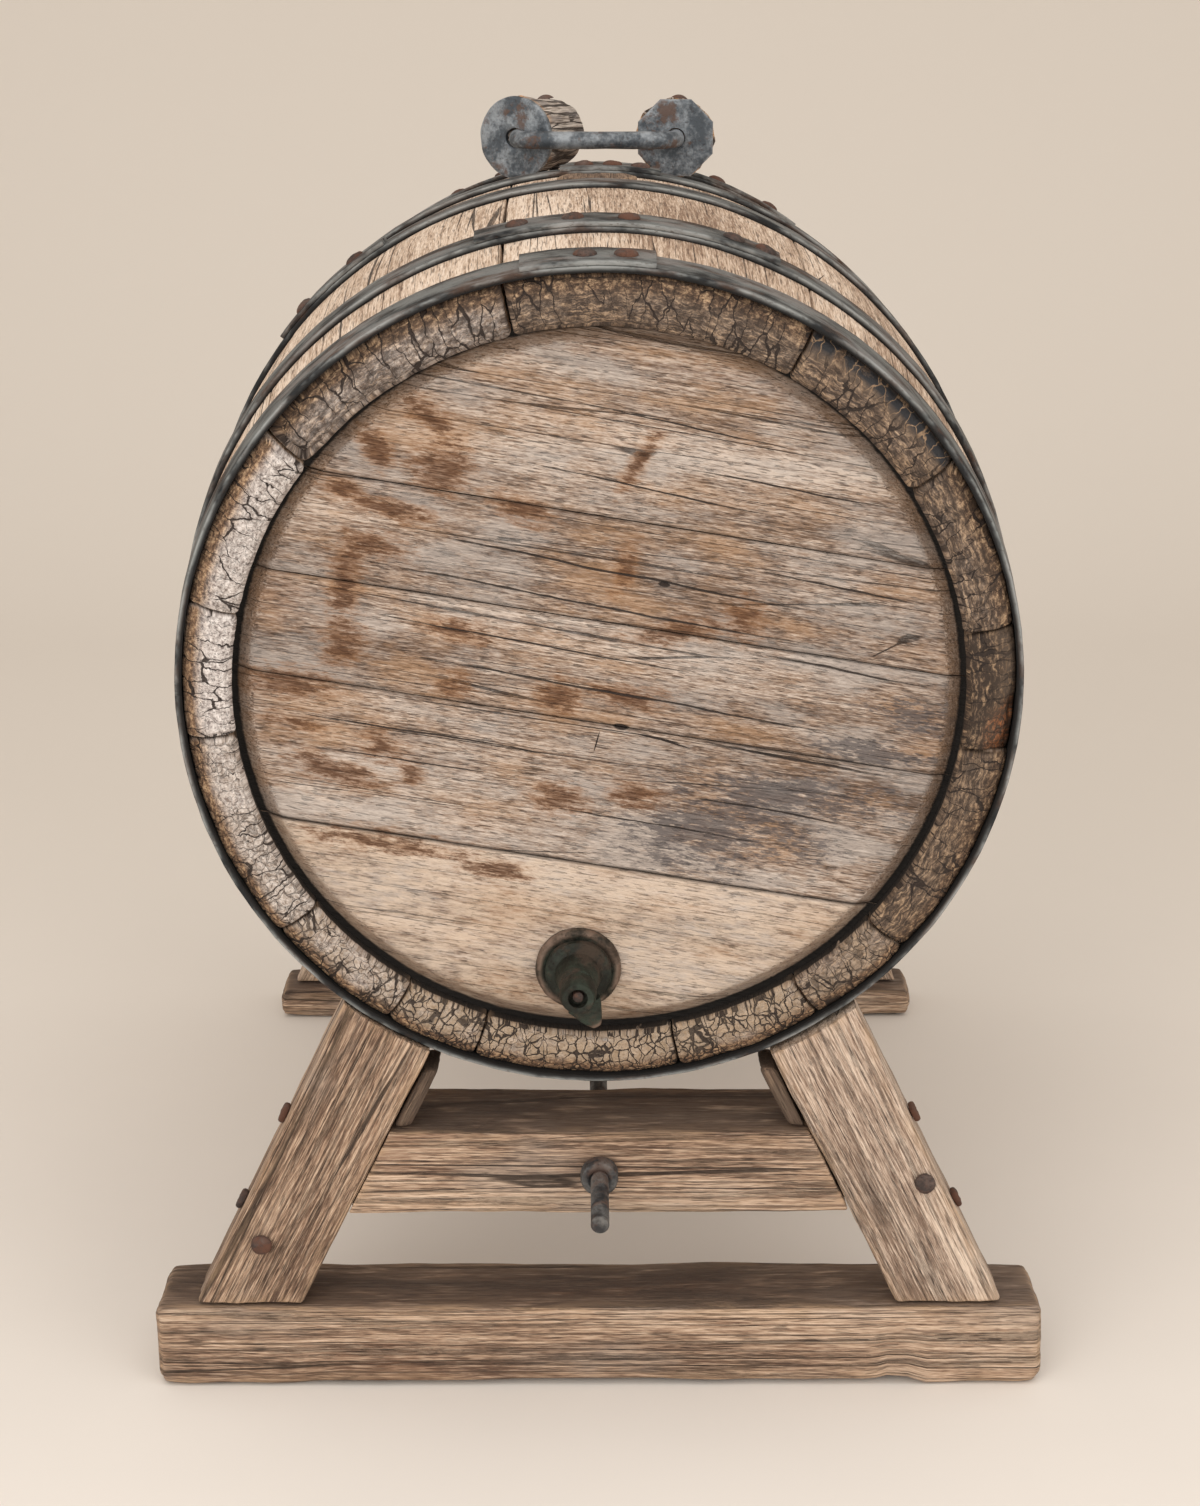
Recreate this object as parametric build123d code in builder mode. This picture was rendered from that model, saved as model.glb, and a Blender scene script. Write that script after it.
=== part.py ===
from build123d import *
import os
from math import asin, atan2, cos, degrees, radians, sin, sqrt, tan

# A small wooden cask lying on a two-trestle stand, sloping down to its tap.
# Millimetres and degrees. +X is the viewer's right, +Y runs from the tap end to the back, +Z is up.

# Barrel
barrel_length = 610
chime_radius = 210
bulge_rise = 19
chime_thickness = 26
bilge_thickness = 22
barrel_tilt = 3
stave_gap = 0.4
end_chamfer_length = 8
end_chamfer_depth = 11
inner_bevel = 2
first_joint_angle = 103
stave_width_shares = (42.6, 26.2, 24.4, 18.5, 32.5, 15.7, 21.4, 30.1, 13.6, 20.2, 31.5, 19.4, 26.1, 37.8)

# Heads, held in a groove (the croze) near each end of the staves
head_setback = 12
head_thickness = 20
croze_setback = 17
croze_width = 7
croze_depth = 6
croze_clearance = 0.3
head_bevel = 8
head_slope = 9.3
board_gap = 0.3
front_joint_shares = (-0.49, -0.09, 0.19, 0.47)
rear_joint_shares = (-0.52, -0.17, 0.16, 0.5)
dowel_radius = 3.5
dowel_length = 36
dowel_clearance = 0.1
dowel_shares = (-0.45, 0.5)

# Hoops, each a riveted iron strip
hoop_thickness = 2.6
hoop_clearance = 0.2
chime_hoop_width = 28
quarter_hoop_width = 26
bilge_hoop_width = 26
chime_hoop_setback = 5
quarter_hoop_share = 0.1754
bung_hoop_gap = 3
lap_angles = (91.5, 86, 132, 88, 64, 112)
lap_arc_angles = (17.5, 41, 20, 15, 20, 18)
lap_rivet_shares = (
    (0.22, 0.52), (0.05, 0.16, 0.5, 0.68, 0.86), (0.25, 0.75),
    (0.2, 0.48, 0.76), (0.25, 0.75), (0.25, 0.75),
)
rivet_radius = 2.4
rivet_head_radius = 6
rivet_head_height = 2.6
rivet_clearance = 0.1

# Bung, driven into the top stave
bung_radius = 24
bung_taper = 4
bung_proud = 2
bung_tail = 5
bung_clearance = 0.35

# Tap in the lowest head board
tap_across = -11
tap_rim_gap = 33
tap_flange_radius = 22.5
tap_flange_thickness = 4
tap_shank_radius = 10
tap_shank_tail = 12
tap_shank_clearance = 0.3
tap_collar_radius = 17.5
tap_collar_thickness = 5
tap_boss_base_radius = 12
tap_boss_tip_radius = 9
tap_boss_length = 18
tap_bore_radius = 4.5
tap_bore_floor = 15
key_hub_radius = 9.5
key_hub_length = 14
key_beak_reach = 19
key_beak_angle = -63
key_beak_tip_radius = 2.6
key_beak_thickness = 8
key_gap = 0.4
key_recess_radius = 5
key_recess_depth = 5
pin_radius = 3
pin_running_clearance = 0.1
pin_seat_depth = 11
pin_head_sink = 1.5

# Carrying handle: two wooden blocks with iron caps and a round iron bail
handle_spacing = 98
block_radius = 25.5
block_tail_gap = 44
block_taper = 5
block_round = 5
block_seat = 1.5
block_clearance = 0.3
block_hoop_gap = 30
left_block_angle = 28
right_block_angle = 0
cap_thickness = 4
cap_sides = 8
bail_radius = 5.25
bail_reach = 20
bail_insertion = 22
bail_bend = 15
bail_clearance = 0.8
socket_spare = 6
spike_radius = 3
spike_head_radius = 5.5
spike_head_height = 2.5
spike_share = 0.76
spike_depth = 13
spike_clearance = 0.1

# Stand: two trestles tied by a threaded rod
foot_length = 484
foot_depth = 56
front_foot_height = 48
rear_foot_height = 22
foot_end_round = 7
foot_lip = 2.5
leg_lean = 26
foot_end_margin = 29.2
leg_width = 53
leg_depth = 36
leg_seat_clearance = 0.3
tenon_width = 34
tenon_depth = 14
tenon_length = 14
tenon_clearance = 0.25
beam_rise = 53
beam_height = 48
beam_depth = 61
barrel_gap = 29
joint_gap = 0.2
cleat_thickness = 9
cleat_depth = 32
cleat_height = 34
cleat_setback = 3
cleat_round = 4
rod_radius = 5
rod_end_radius = 4.8
rod_reach = 63
rod_tail = 14
rod_clearance = 0.5
rod_chamfer = 1
nut_radius = 10
nut_thickness = 9
nut_clearance = 0.1
nail_radius = 2.5
nail_head_radius = 5.5
nail_head_height = 3
nail_clearance = 0.1
side_nail_length = 76
side_nail_height = 152
low_nail_length = 40
low_nail_height = 102
face_nail_length = 26
left_face_nail_height = 84
left_face_nail_outset = 9.5
right_face_nail_height = 119
right_face_nail_outset = 19
beam_nail_length = 30
beam_nail_inset = 46

# One overrun serves every cut
overrun = 1
full_turn = 360

# Sizes that follow from the ones above
tilt = radians(barrel_tilt)
lean = radians(leg_lean)
half_length = barrel_length / 2
bilge_radius = chime_radius + bulge_rise
bulge_arc = (half_length**2 + bulge_rise**2) / (2 * bulge_rise)
inner_chime_radius = chime_radius - chime_thickness
inner_bilge_radius = bilge_radius - bilge_thickness
croze_end = croze_setback + croze_width
chime_hoop_station = chime_hoop_setback + chime_hoop_width / 2
quarter_hoop_station = barrel_length * quarter_hoop_share
bilge_hoop_offset = bung_radius + bung_hoop_gap + bilge_hoop_width / 2
tap_drop = inner_chime_radius - tap_rim_gap
leg_spread = foot_length / 2 - foot_end_margin
leg_half_width = leg_width / 2 / cos(lean)
seat_drop = chime_radius * cos(lean)
beam_underside = front_foot_height + beam_rise
beam_top = beam_underside + beam_height
axis_height = beam_top + barrel_gap + chime_radius
rod_height = beam_underside + beam_height / 2


def seat_depth(station):
    """Depth behind the front chime's centre of the barrel's underside, where the legs carry it."""
    return station * cos(tilt) + seat_drop * sin(tilt)


front_leg_face = seat_depth(chime_hoop_station) - leg_depth / 2
rear_leg_face = seat_depth(barrel_length - chime_hoop_station) + leg_depth / 2
chime_depth = (rod_reach - rod_tail - front_leg_face - rear_leg_face) / 2

axis_direction = Vector(0, cos(tilt), sin(tilt))
up_direction = Vector(0, -sin(tilt), cos(tilt))
across = Vector(1, 0, 0)
front_face = Plane(origin=(0, chime_depth, axis_height), x_dir=across, z_dir=-axis_direction)
rear_face = Plane(
    origin=front_face.origin + axis_direction * barrel_length, x_dir=-across, z_dir=axis_direction
)
barrel_axis = Axis(front_face.origin, front_face.z_dir)

os.makedirs("parts", exist_ok=True)


def keep(builder, label):
    """Label a finished piece and write it to its own file."""
    builder.part.label = label
    export_step(builder.part, f"parts/{label}.step")


# Shared places on the barrel


def stave_radius(station):
    """Outer radius of the barrel at a distance behind the front chime."""
    return bilge_radius - bulge_arc + sqrt(bulge_arc**2 - (station - half_length) ** 2)


def radial_direction(angle):
    """Direction away from the barrel's axis, at an angle from the viewer's right."""
    return across * cos(radians(angle)) + up_direction * sin(radians(angle))


def radial_plane(angle):
    """Plane through the barrel's axis: x runs back along the axis and y runs outward."""
    outward = radial_direction(angle)
    return Plane(origin=front_face.origin, x_dir=axis_direction, z_dir=axis_direction.cross(outward))


def surface_plane(station, angle, lift=0):
    """Plane lying on the barrel's outside, or lifted off it, facing outward."""
    outward = radial_direction(angle)
    lengthwise = (half_length - station) / bulge_arc
    normal = outward * cos(asin(lengthwise)) - axis_direction * lengthwise
    point = front_face.origin + axis_direction * station + outward * stave_radius(station)
    return Plane(origin=point + normal * lift, x_dir=axis_direction.cross(outward), z_dir=normal)


def barrel_envelope(clearance):
    """Half section of the barrel's outside with a clearance, for coping what rests on it."""
    edge = chime_radius + clearance
    with BuildSketch(radial_plane(0)) as section:
        with BuildLine():
            Polyline((0, edge), (0, 0), (barrel_length, 0), (barrel_length, edge))
            ThreePointArc((0, edge), (half_length, bilge_radius + clearance), (barrel_length, edge))
        make_face()
    return section.sketch


def profile_plane(seat):
    """Plane for a half section: x runs across a seat and y away from it."""
    return Plane(origin=seat.origin, x_dir=seat.x_dir, z_dir=-seat.y_dir)


def button_section(seat, head_radius, head_height, shank_radius, shank_length):
    """Half section of a nail or rivet whose head sits on a plane and whose shank goes below it."""
    dome_radius = (head_radius**2 + head_height**2) / (2 * head_height)
    half_turn = asin(head_radius / dome_radius) / 2
    crown = (dome_radius * sin(half_turn), head_height - dome_radius * (1 - cos(half_turn)))
    with BuildSketch(profile_plane(seat)) as section:
        with BuildLine():
            Polyline((0, head_height), (0, -shank_length), (shank_radius, -shank_length),
                     (shank_radius, 0), (head_radius, 0))
            ThreePointArc((head_radius, 0), crown, (0, head_height))
        make_face()
    return section.sketch


def round_hole(seat, radius):
    """Round outline for a hole, centred on a plane."""
    with BuildSketch(seat) as outline:
        Circle(radius)
    return outline.sketch


# Carrying handle places, needed by the stave that carries it


rear_bilge_edge = half_length + bilge_hoop_offset + bilge_hoop_width / 2
cap_station = rear_bilge_edge + block_hoop_gap
block_station = cap_station + cap_thickness
rear_quarter_edge = barrel_length - quarter_hoop_station - quarter_hoop_width / 2
block_length = rear_quarter_edge - block_tail_gap - block_station
spike_station = block_length * spike_share
block_reach = stave_radius(block_station) + block_radius - block_seat
block_rise = sqrt(block_reach**2 - (handle_spacing / 2) ** 2)


def block_plane(side, turn):
    """Front face of a handle block, facing back along the block; side is -1 for left, 1 for right."""
    backward = axis_direction * cos(radians(turn)) + across * sin(radians(turn))
    centre = front_face.origin + axis_direction * block_station + up_direction * block_rise
    centre += across * (side * handle_spacing / 2)
    return Plane(origin=centre, x_dir=up_direction.cross(backward), z_dir=backward)


def spike_plane(side, turn):
    """Top of a handle block where its spike is driven, facing away from the barrel's axis."""
    face = block_plane(side, turn)
    point = face.origin + face.z_dir * spike_station
    local = front_face.to_local_coords(point)
    outward = radial_direction(degrees(atan2(local.Y, local.X)))
    crest = block_radius - block_taper * spike_station / block_length
    return Plane(origin=point + outward * crest, x_dir=axis_direction, z_dir=outward)


def spike_length(side, turn):
    """Length of a spike from the top of its block into the stave below."""
    local = front_face.to_local_coords(spike_plane(side, turn).origin)
    surface = stave_radius(-local.Z)
    return sqrt(local.X**2 + local.Y**2) - surface + spike_depth


handle_sides = (("left", -1, left_block_angle), ("right", 1, right_block_angle))


# Staves


def stave_section(angle):
    """Section of a stave along its length: bulged outside, hollowed inside, grooved for the heads."""
    chamfer_radius = stave_radius(end_chamfer_length)
    lip = chime_radius - end_chamfer_depth
    bevel_top = inner_chime_radius + inner_bevel
    groove = inner_chime_radius + croze_depth
    far = barrel_length
    with BuildSketch(radial_plane(angle)) as section:
        with BuildLine():
            ThreePointArc((end_chamfer_length, chamfer_radius), (half_length, bilge_radius),
                          (far - end_chamfer_length, chamfer_radius))
            Polyline((far - end_chamfer_length, chamfer_radius), (far, lip), (far, bevel_top),
                     (far - inner_bevel, inner_chime_radius), (far - croze_setback, inner_chime_radius),
                     (far - croze_setback, groove), (far - croze_end, groove),
                     (far - croze_end, inner_chime_radius))
            ThreePointArc((far - croze_end, inner_chime_radius), (half_length, inner_bilge_radius),
                          (croze_end, inner_chime_radius))
            Polyline((croze_end, inner_chime_radius), (croze_end, groove), (croze_setback, groove),
                     (croze_setback, inner_chime_radius), (inner_bevel, inner_chime_radius),
                     (0, bevel_top), (0, lip), (end_chamfer_length, chamfer_radius))
        make_face()
    return section.sketch


bung_seat = surface_plane(half_length, 90, bung_proud)
bung_length = bung_proud + bilge_thickness + bung_tail


def bung_section(clearance):
    """Half section of the tapered bung, or of its hole with a clearance."""
    with BuildSketch(profile_plane(bung_seat)) as section:
        with BuildLine():
            Polyline((0, 0), (bung_radius + clearance, 0),
                     (bung_radius - bung_taper + clearance, -bung_length), (0, -bung_length), close=True)
        make_face()
    return section.sketch


gap_turn = degrees(stave_gap / chime_radius)
joint_angle = first_joint_angle
for number, width_share in enumerate(stave_width_shares, start=1):
    width = full_turn * width_share / sum(stave_width_shares)
    joint_angle -= width
    with BuildPart() as stave:
        revolve(stave_section(joint_angle + gap_turn / 2), axis=barrel_axis, revolution_arc=width - gap_turn)
        if number == 1:
            bung_axis = Axis(bung_seat.origin, bung_seat.z_dir)
            revolve(bung_section(bung_clearance), axis=bung_axis, mode=Mode.SUBTRACT)
            for name, side, turn in handle_sides:
                hole = round_hole(spike_plane(side, turn), spike_radius + spike_clearance)
                drop = -spike_length(side, turn) - spike_clearance
                extrude(hole, amount=drop, mode=Mode.SUBTRACT)
    keep(stave, f"stave_{number:02d}")


# Heads


tap_place = (tap_across, -tap_drop)
groove_floor = inner_chime_radius + croze_depth
head_radius = groove_floor - croze_clearance
rim_radius = inner_chime_radius - croze_clearance
edge_front = -(croze_setback + croze_clearance)
edge_back = -(croze_end - croze_clearance)
head_back = -(head_setback + head_thickness)


def head_section(face):
    """Half section of a whole head, with both faces bevelled down to the rim in the croze."""
    with BuildSketch(profile_plane(face)) as section:
        with BuildLine():
            Polyline((0, -head_setback), (rim_radius - head_bevel, -head_setback),
                     (rim_radius, edge_front), (head_radius, edge_front), (head_radius, edge_back),
                     (rim_radius, edge_back), (rim_radius - head_bevel, head_back), (0, head_back),
                     close=True)
        make_face()
    return section.sketch


slope = radians(head_slope)


def board_strip(face, low, high):
    """Outline of one head board between two sloping joints, across the whole head."""
    middle = (low + high) / 2
    with BuildSketch(face) as strip:
        with Locations((middle * sin(slope), middle * cos(slope))):
            Rectangle(2 * head_radius + 2 * overrun, high - low, rotation=-head_slope)
    return strip.sketch


def dowel_seats(face, joint):
    """Planes in the middle of the head's thickness, facing along the dowels that cross a joint."""
    half_chord = sqrt(head_radius**2 - joint**2)
    seats = []
    for share in dowel_shares:
        along = half_chord * share
        place = Vector(joint * sin(slope) + along * cos(slope), joint * cos(slope) - along * sin(slope),
                       -head_setback - head_thickness / 2)
        direction = face.x_dir * sin(slope) + face.y_dir * cos(slope)
        seats += [Plane(origin=face.from_local_coords(place), x_dir=face.z_dir, z_dir=direction)]
    return seats


heads = (("front", front_face, front_joint_shares), ("rear", rear_face, rear_joint_shares))
all_dowel_seats = []
for end, face, joint_shares in heads:
    joints = [head_radius * share for share in joint_shares]
    limits = [-head_radius - overrun] + joints + [head_radius + overrun]
    head_dowel_seats = []
    for joint in joints:
        head_dowel_seats += [dowel_seats(face, joint)]
        all_dowel_seats += head_dowel_seats[-1]
    for number, (low, high) in enumerate(zip(limits[:-1], limits[1:]), start=1):
        with BuildPart() as board:
            revolve(head_section(face), axis=Axis(face.origin, face.z_dir))
            strip = board_strip(face, low + board_gap / 2, high - board_gap / 2)
            extrude(strip, amount=-2 * head_setback - head_thickness, mode=Mode.INTERSECT)
            for joint_seats in head_dowel_seats[max(number - 2, 0):number]:
                for seat in joint_seats:
                    hole = round_hole(seat, dowel_radius + dowel_clearance)
                    extrude(hole, amount=dowel_length / 2 + dowel_clearance, both=True, mode=Mode.SUBTRACT)
            if end == "front" and number == 1:
                with BuildSketch(front_face) as tap_hole:
                    with Locations(tap_place):
                        Circle(tap_shank_radius + tap_shank_clearance)
                extrude(amount=-2 * head_setback - head_thickness, mode=Mode.SUBTRACT)
        keep(board, f"{end}_head_board_{number}")

with BuildPart() as head_dowels:
    for seat in all_dowel_seats:
        extrude(round_hole(seat, dowel_radius), amount=dowel_length / 2, both=True)
keep(head_dowels, "head_dowels")


# Hoops and their rivets


def hoop_section(angle, station, width, layer):
    """Section of a hoop strip lying on the staves; layer 1 is the lap on top of layer 0."""
    near = station - width / 2
    away = station + width / 2
    lift = hoop_clearance + layer * hoop_thickness
    with BuildSketch(radial_plane(angle)) as section:
        with BuildLine():
            Polyline((near, stave_radius(near) + lift), (away, stave_radius(away) + lift),
                     (away, stave_radius(away) + lift + hoop_thickness),
                     (near, stave_radius(near) + lift + hoop_thickness), close=True)
        make_face()
    return section.sketch


hoops = (
    ("front_chime_hoop", chime_hoop_station, chime_hoop_width),
    ("front_quarter_hoop", quarter_hoop_station, quarter_hoop_width),
    ("front_bilge_hoop", half_length - bilge_hoop_offset, bilge_hoop_width),
    ("rear_bilge_hoop", half_length + bilge_hoop_offset, bilge_hoop_width),
    ("rear_quarter_hoop", barrel_length - quarter_hoop_station, quarter_hoop_width),
    ("rear_chime_hoop", barrel_length - chime_hoop_station, chime_hoop_width),
)
laps = zip(lap_angles, lap_arc_angles, lap_rivet_shares)
rivet_seats = []
for (label, station, width), (lap_angle, lap_arc, rivet_shares) in zip(hoops, laps):
    lap_start = lap_angle - lap_arc / 2
    stack = hoop_clearance + 2 * hoop_thickness
    seats = [surface_plane(station, lap_start + lap_arc * share, stack) for share in rivet_shares]
    with BuildPart() as hoop:
        revolve(hoop_section(0, station, width, 0), axis=barrel_axis)
        revolve(hoop_section(lap_start, station, width, 1), axis=barrel_axis, revolution_arc=lap_arc)
        for seat in seats:
            hole = round_hole(seat, rivet_radius + rivet_clearance)
            extrude(hole, amount=stack, both=True, mode=Mode.SUBTRACT)
    keep(hoop, label)
    rivet_seats += seats

with BuildPart() as hoop_rivets:
    for seat in rivet_seats:
        section = button_section(seat, rivet_head_radius, rivet_head_height, rivet_radius, 2 * hoop_thickness)
        revolve(section, axis=Axis(seat.origin, seat.z_dir))
keep(hoop_rivets, "hoop_rivets")


# Bung


with BuildPart() as bung:
    revolve(bung_section(0), axis=Axis(bung_seat.origin, bung_seat.z_dir))
keep(bung, "bung")


# Tap


tap_seat = Plane(
    origin=front_face.from_local_coords(Vector(tap_across, -tap_drop, -head_setback)),
    x_dir=front_face.x_dir,
    z_dir=front_face.z_dir,
)
tap_collar_top = tap_flange_thickness + tap_collar_thickness
tap_boss_top = tap_collar_top + tap_boss_length
key_plane = tap_seat.offset(tap_boss_top + key_gap)

with BuildPart() as tap_flange:
    with BuildSketch(tap_seat):
        Circle(tap_flange_radius)
        Circle(tap_shank_radius + tap_shank_clearance, mode=Mode.SUBTRACT)
    extrude(amount=tap_flange_thickness)
    front_rim = tap_flange.faces().sort_by(Axis(tap_seat.origin, tap_seat.z_dir))[-1].outer_wire()
    chamfer(front_rim.edges(), tap_flange_thickness / 2)
keep(tap_flange, "tap_flange")

with BuildPart() as tap_body:
    with BuildSketch(tap_seat.offset(-head_thickness - tap_shank_tail)):
        Circle(tap_shank_radius)
    extrude(amount=head_thickness + tap_shank_tail + tap_flange_thickness)
    with BuildSketch(tap_seat.offset(tap_flange_thickness)):
        Circle(tap_collar_radius)
    extrude(amount=tap_collar_thickness)
    with BuildSketch(tap_seat.offset(tap_collar_top)):
        Circle(tap_boss_base_radius)
    with BuildSketch(tap_seat.offset(tap_boss_top)):
        Circle(tap_boss_tip_radius)
    loft()
    with BuildSketch(tap_seat.offset(tap_boss_top)):
        Circle(pin_radius + pin_running_clearance)
    extrude(amount=-pin_seat_depth, mode=Mode.SUBTRACT)
    with BuildSketch(tap_seat.offset(-head_thickness - tap_shank_tail)):
        Circle(tap_bore_radius)
    extrude(amount=head_thickness + tap_shank_tail + tap_bore_floor - pin_seat_depth, mode=Mode.SUBTRACT)
keep(tap_body, "tap_body")

beak_tip = (
    key_beak_reach * cos(radians(key_beak_angle)),
    key_beak_reach * sin(radians(key_beak_angle)),
)
with BuildPart() as tap_key:
    with BuildSketch(key_plane):
        Circle(key_hub_radius)
        with Locations(beak_tip):
            Circle(key_beak_tip_radius)
        make_hull()
    extrude(amount=key_beak_thickness)
    with BuildSketch(key_plane):
        Circle(key_hub_radius)
    extrude(amount=key_hub_length)
    with BuildSketch(key_plane):
        Circle(pin_radius + pin_running_clearance)
    extrude(amount=key_hub_length, mode=Mode.SUBTRACT)
    with BuildSketch(key_plane.offset(key_hub_length)):
        Circle(key_recess_radius)
    extrude(amount=-key_recess_depth, mode=Mode.SUBTRACT)
keep(tap_key, "tap_key")

with BuildPart() as tap_pin:
    with BuildSketch(tap_seat.offset(tap_boss_top - pin_seat_depth)):
        Circle(pin_radius)
    extrude(amount=pin_seat_depth + key_gap + key_hub_length - pin_head_sink)
keep(tap_pin, "tap_pin")


# Carrying handle


socket_depth = bail_insertion + socket_spare
bail_plane = Plane(
    origin=front_face.origin + up_direction * block_rise, x_dir=across, z_dir=up_direction
)
coping = barrel_envelope(block_clearance)
for name, side, turn in handle_sides:
    face = block_plane(side, turn)
    socket_seat = Plane(origin=face.origin, x_dir=across, z_dir=axis_direction)
    with BuildPart() as block:
        with BuildSketch(face):
            Circle(block_radius)
        with BuildSketch(face.offset(block_length)):
            Circle(block_radius - block_taper)
        loft()
        tail = block.faces().sort_by(Axis(face.origin, face.z_dir))[-1]
        fillet(tail.edges(), block_round)
        socket = round_hole(socket_seat, bail_radius + bail_clearance)
        extrude(socket, amount=socket_depth, both=True, mode=Mode.SUBTRACT)
        spike_seat = spike_plane(side, turn)
        hole = round_hole(spike_seat, spike_radius + spike_clearance)
        extrude(hole, amount=-spike_length(side, turn), mode=Mode.SUBTRACT)
        spot_face = round_hole(spike_seat, spike_head_radius + spike_clearance)
        extrude(spot_face, amount=block_radius, mode=Mode.SUBTRACT)
        revolve(coping, axis=barrel_axis, mode=Mode.SUBTRACT)
    keep(block, f"handle_block_{name}")
    with BuildPart() as cap:
        with BuildSketch(face.offset(-cap_thickness)):
            if side < 0:
                Circle(block_radius)
            else:
                RegularPolygon(block_radius, cap_sides, rotation=full_turn / 2 / cap_sides)
        extrude(amount=cap_thickness)
        socket = round_hole(socket_seat, bail_radius + bail_clearance)
        extrude(socket, amount=socket_depth, both=True, mode=Mode.SUBTRACT)
        revolve(coping, axis=barrel_axis, mode=Mode.SUBTRACT)
    keep(cap, f"handle_cap_{name}")

with BuildPart() as handle_spikes:
    for name, side, turn in handle_sides:
        seat = spike_plane(side, turn)
        length = spike_length(side, turn)
        section = button_section(seat, spike_head_radius, spike_head_height, spike_radius, length)
        revolve(section, axis=Axis(seat.origin, seat.z_dir))
keep(handle_spikes, "handle_spikes")

bail_end = block_station + bail_insertion
bail_front = cap_station - bail_reach
with BuildPart() as handle_bail:
    with BuildLine(bail_plane) as route:
        FilletPolyline((-handle_spacing / 2, bail_end), (-handle_spacing / 2, bail_front),
                       (handle_spacing / 2, bail_front), (handle_spacing / 2, bail_end), radius=bail_bend)
    with BuildSketch(Plane(origin=route.line @ 0, z_dir=route.line % 0)):
        Circle(bail_radius)
    sweep(path=route.line)
keep(handle_bail, "handle_bail")


# Stand


def wall_plane(depth):
    """Upright plane facing the viewer at a depth."""
    return Plane.XZ.offset(-depth)


def leg_centre(height):
    """Distance of a leg's centre line from the middle at a height."""
    return leg_spread - height * tan(lean)


def hoop_cone(station, reach):
    """Half section of the cone that a chime hoop's outside lies on, for coping the leg tops."""
    near = station - reach
    away = station + reach
    half = chime_hoop_width / 2
    slope = (stave_radius(station + half) - stave_radius(station - half)) / chime_hoop_width
    middle = (stave_radius(station + half) + stave_radius(station - half)) / 2
    middle += hoop_clearance + hoop_thickness + leg_seat_clearance
    with BuildSketch(radial_plane(0)) as section:
        with BuildLine():
            Polyline((near, 0), (away, 0), (away, middle + slope * reach), (near, middle - slope * reach),
                     close=True)
        make_face()
    return section.sketch


def outer_nail(hand, height, depth):
    """Plane on a leg's outer side at a height, facing away from the leg; hand is -1 for left."""
    point = (hand * (leg_centre(height) + leg_half_width), depth, height)
    return Plane(origin=point, x_dir=(0, 1, 0), z_dir=(hand * cos(lean), 0, sin(lean)))


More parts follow.
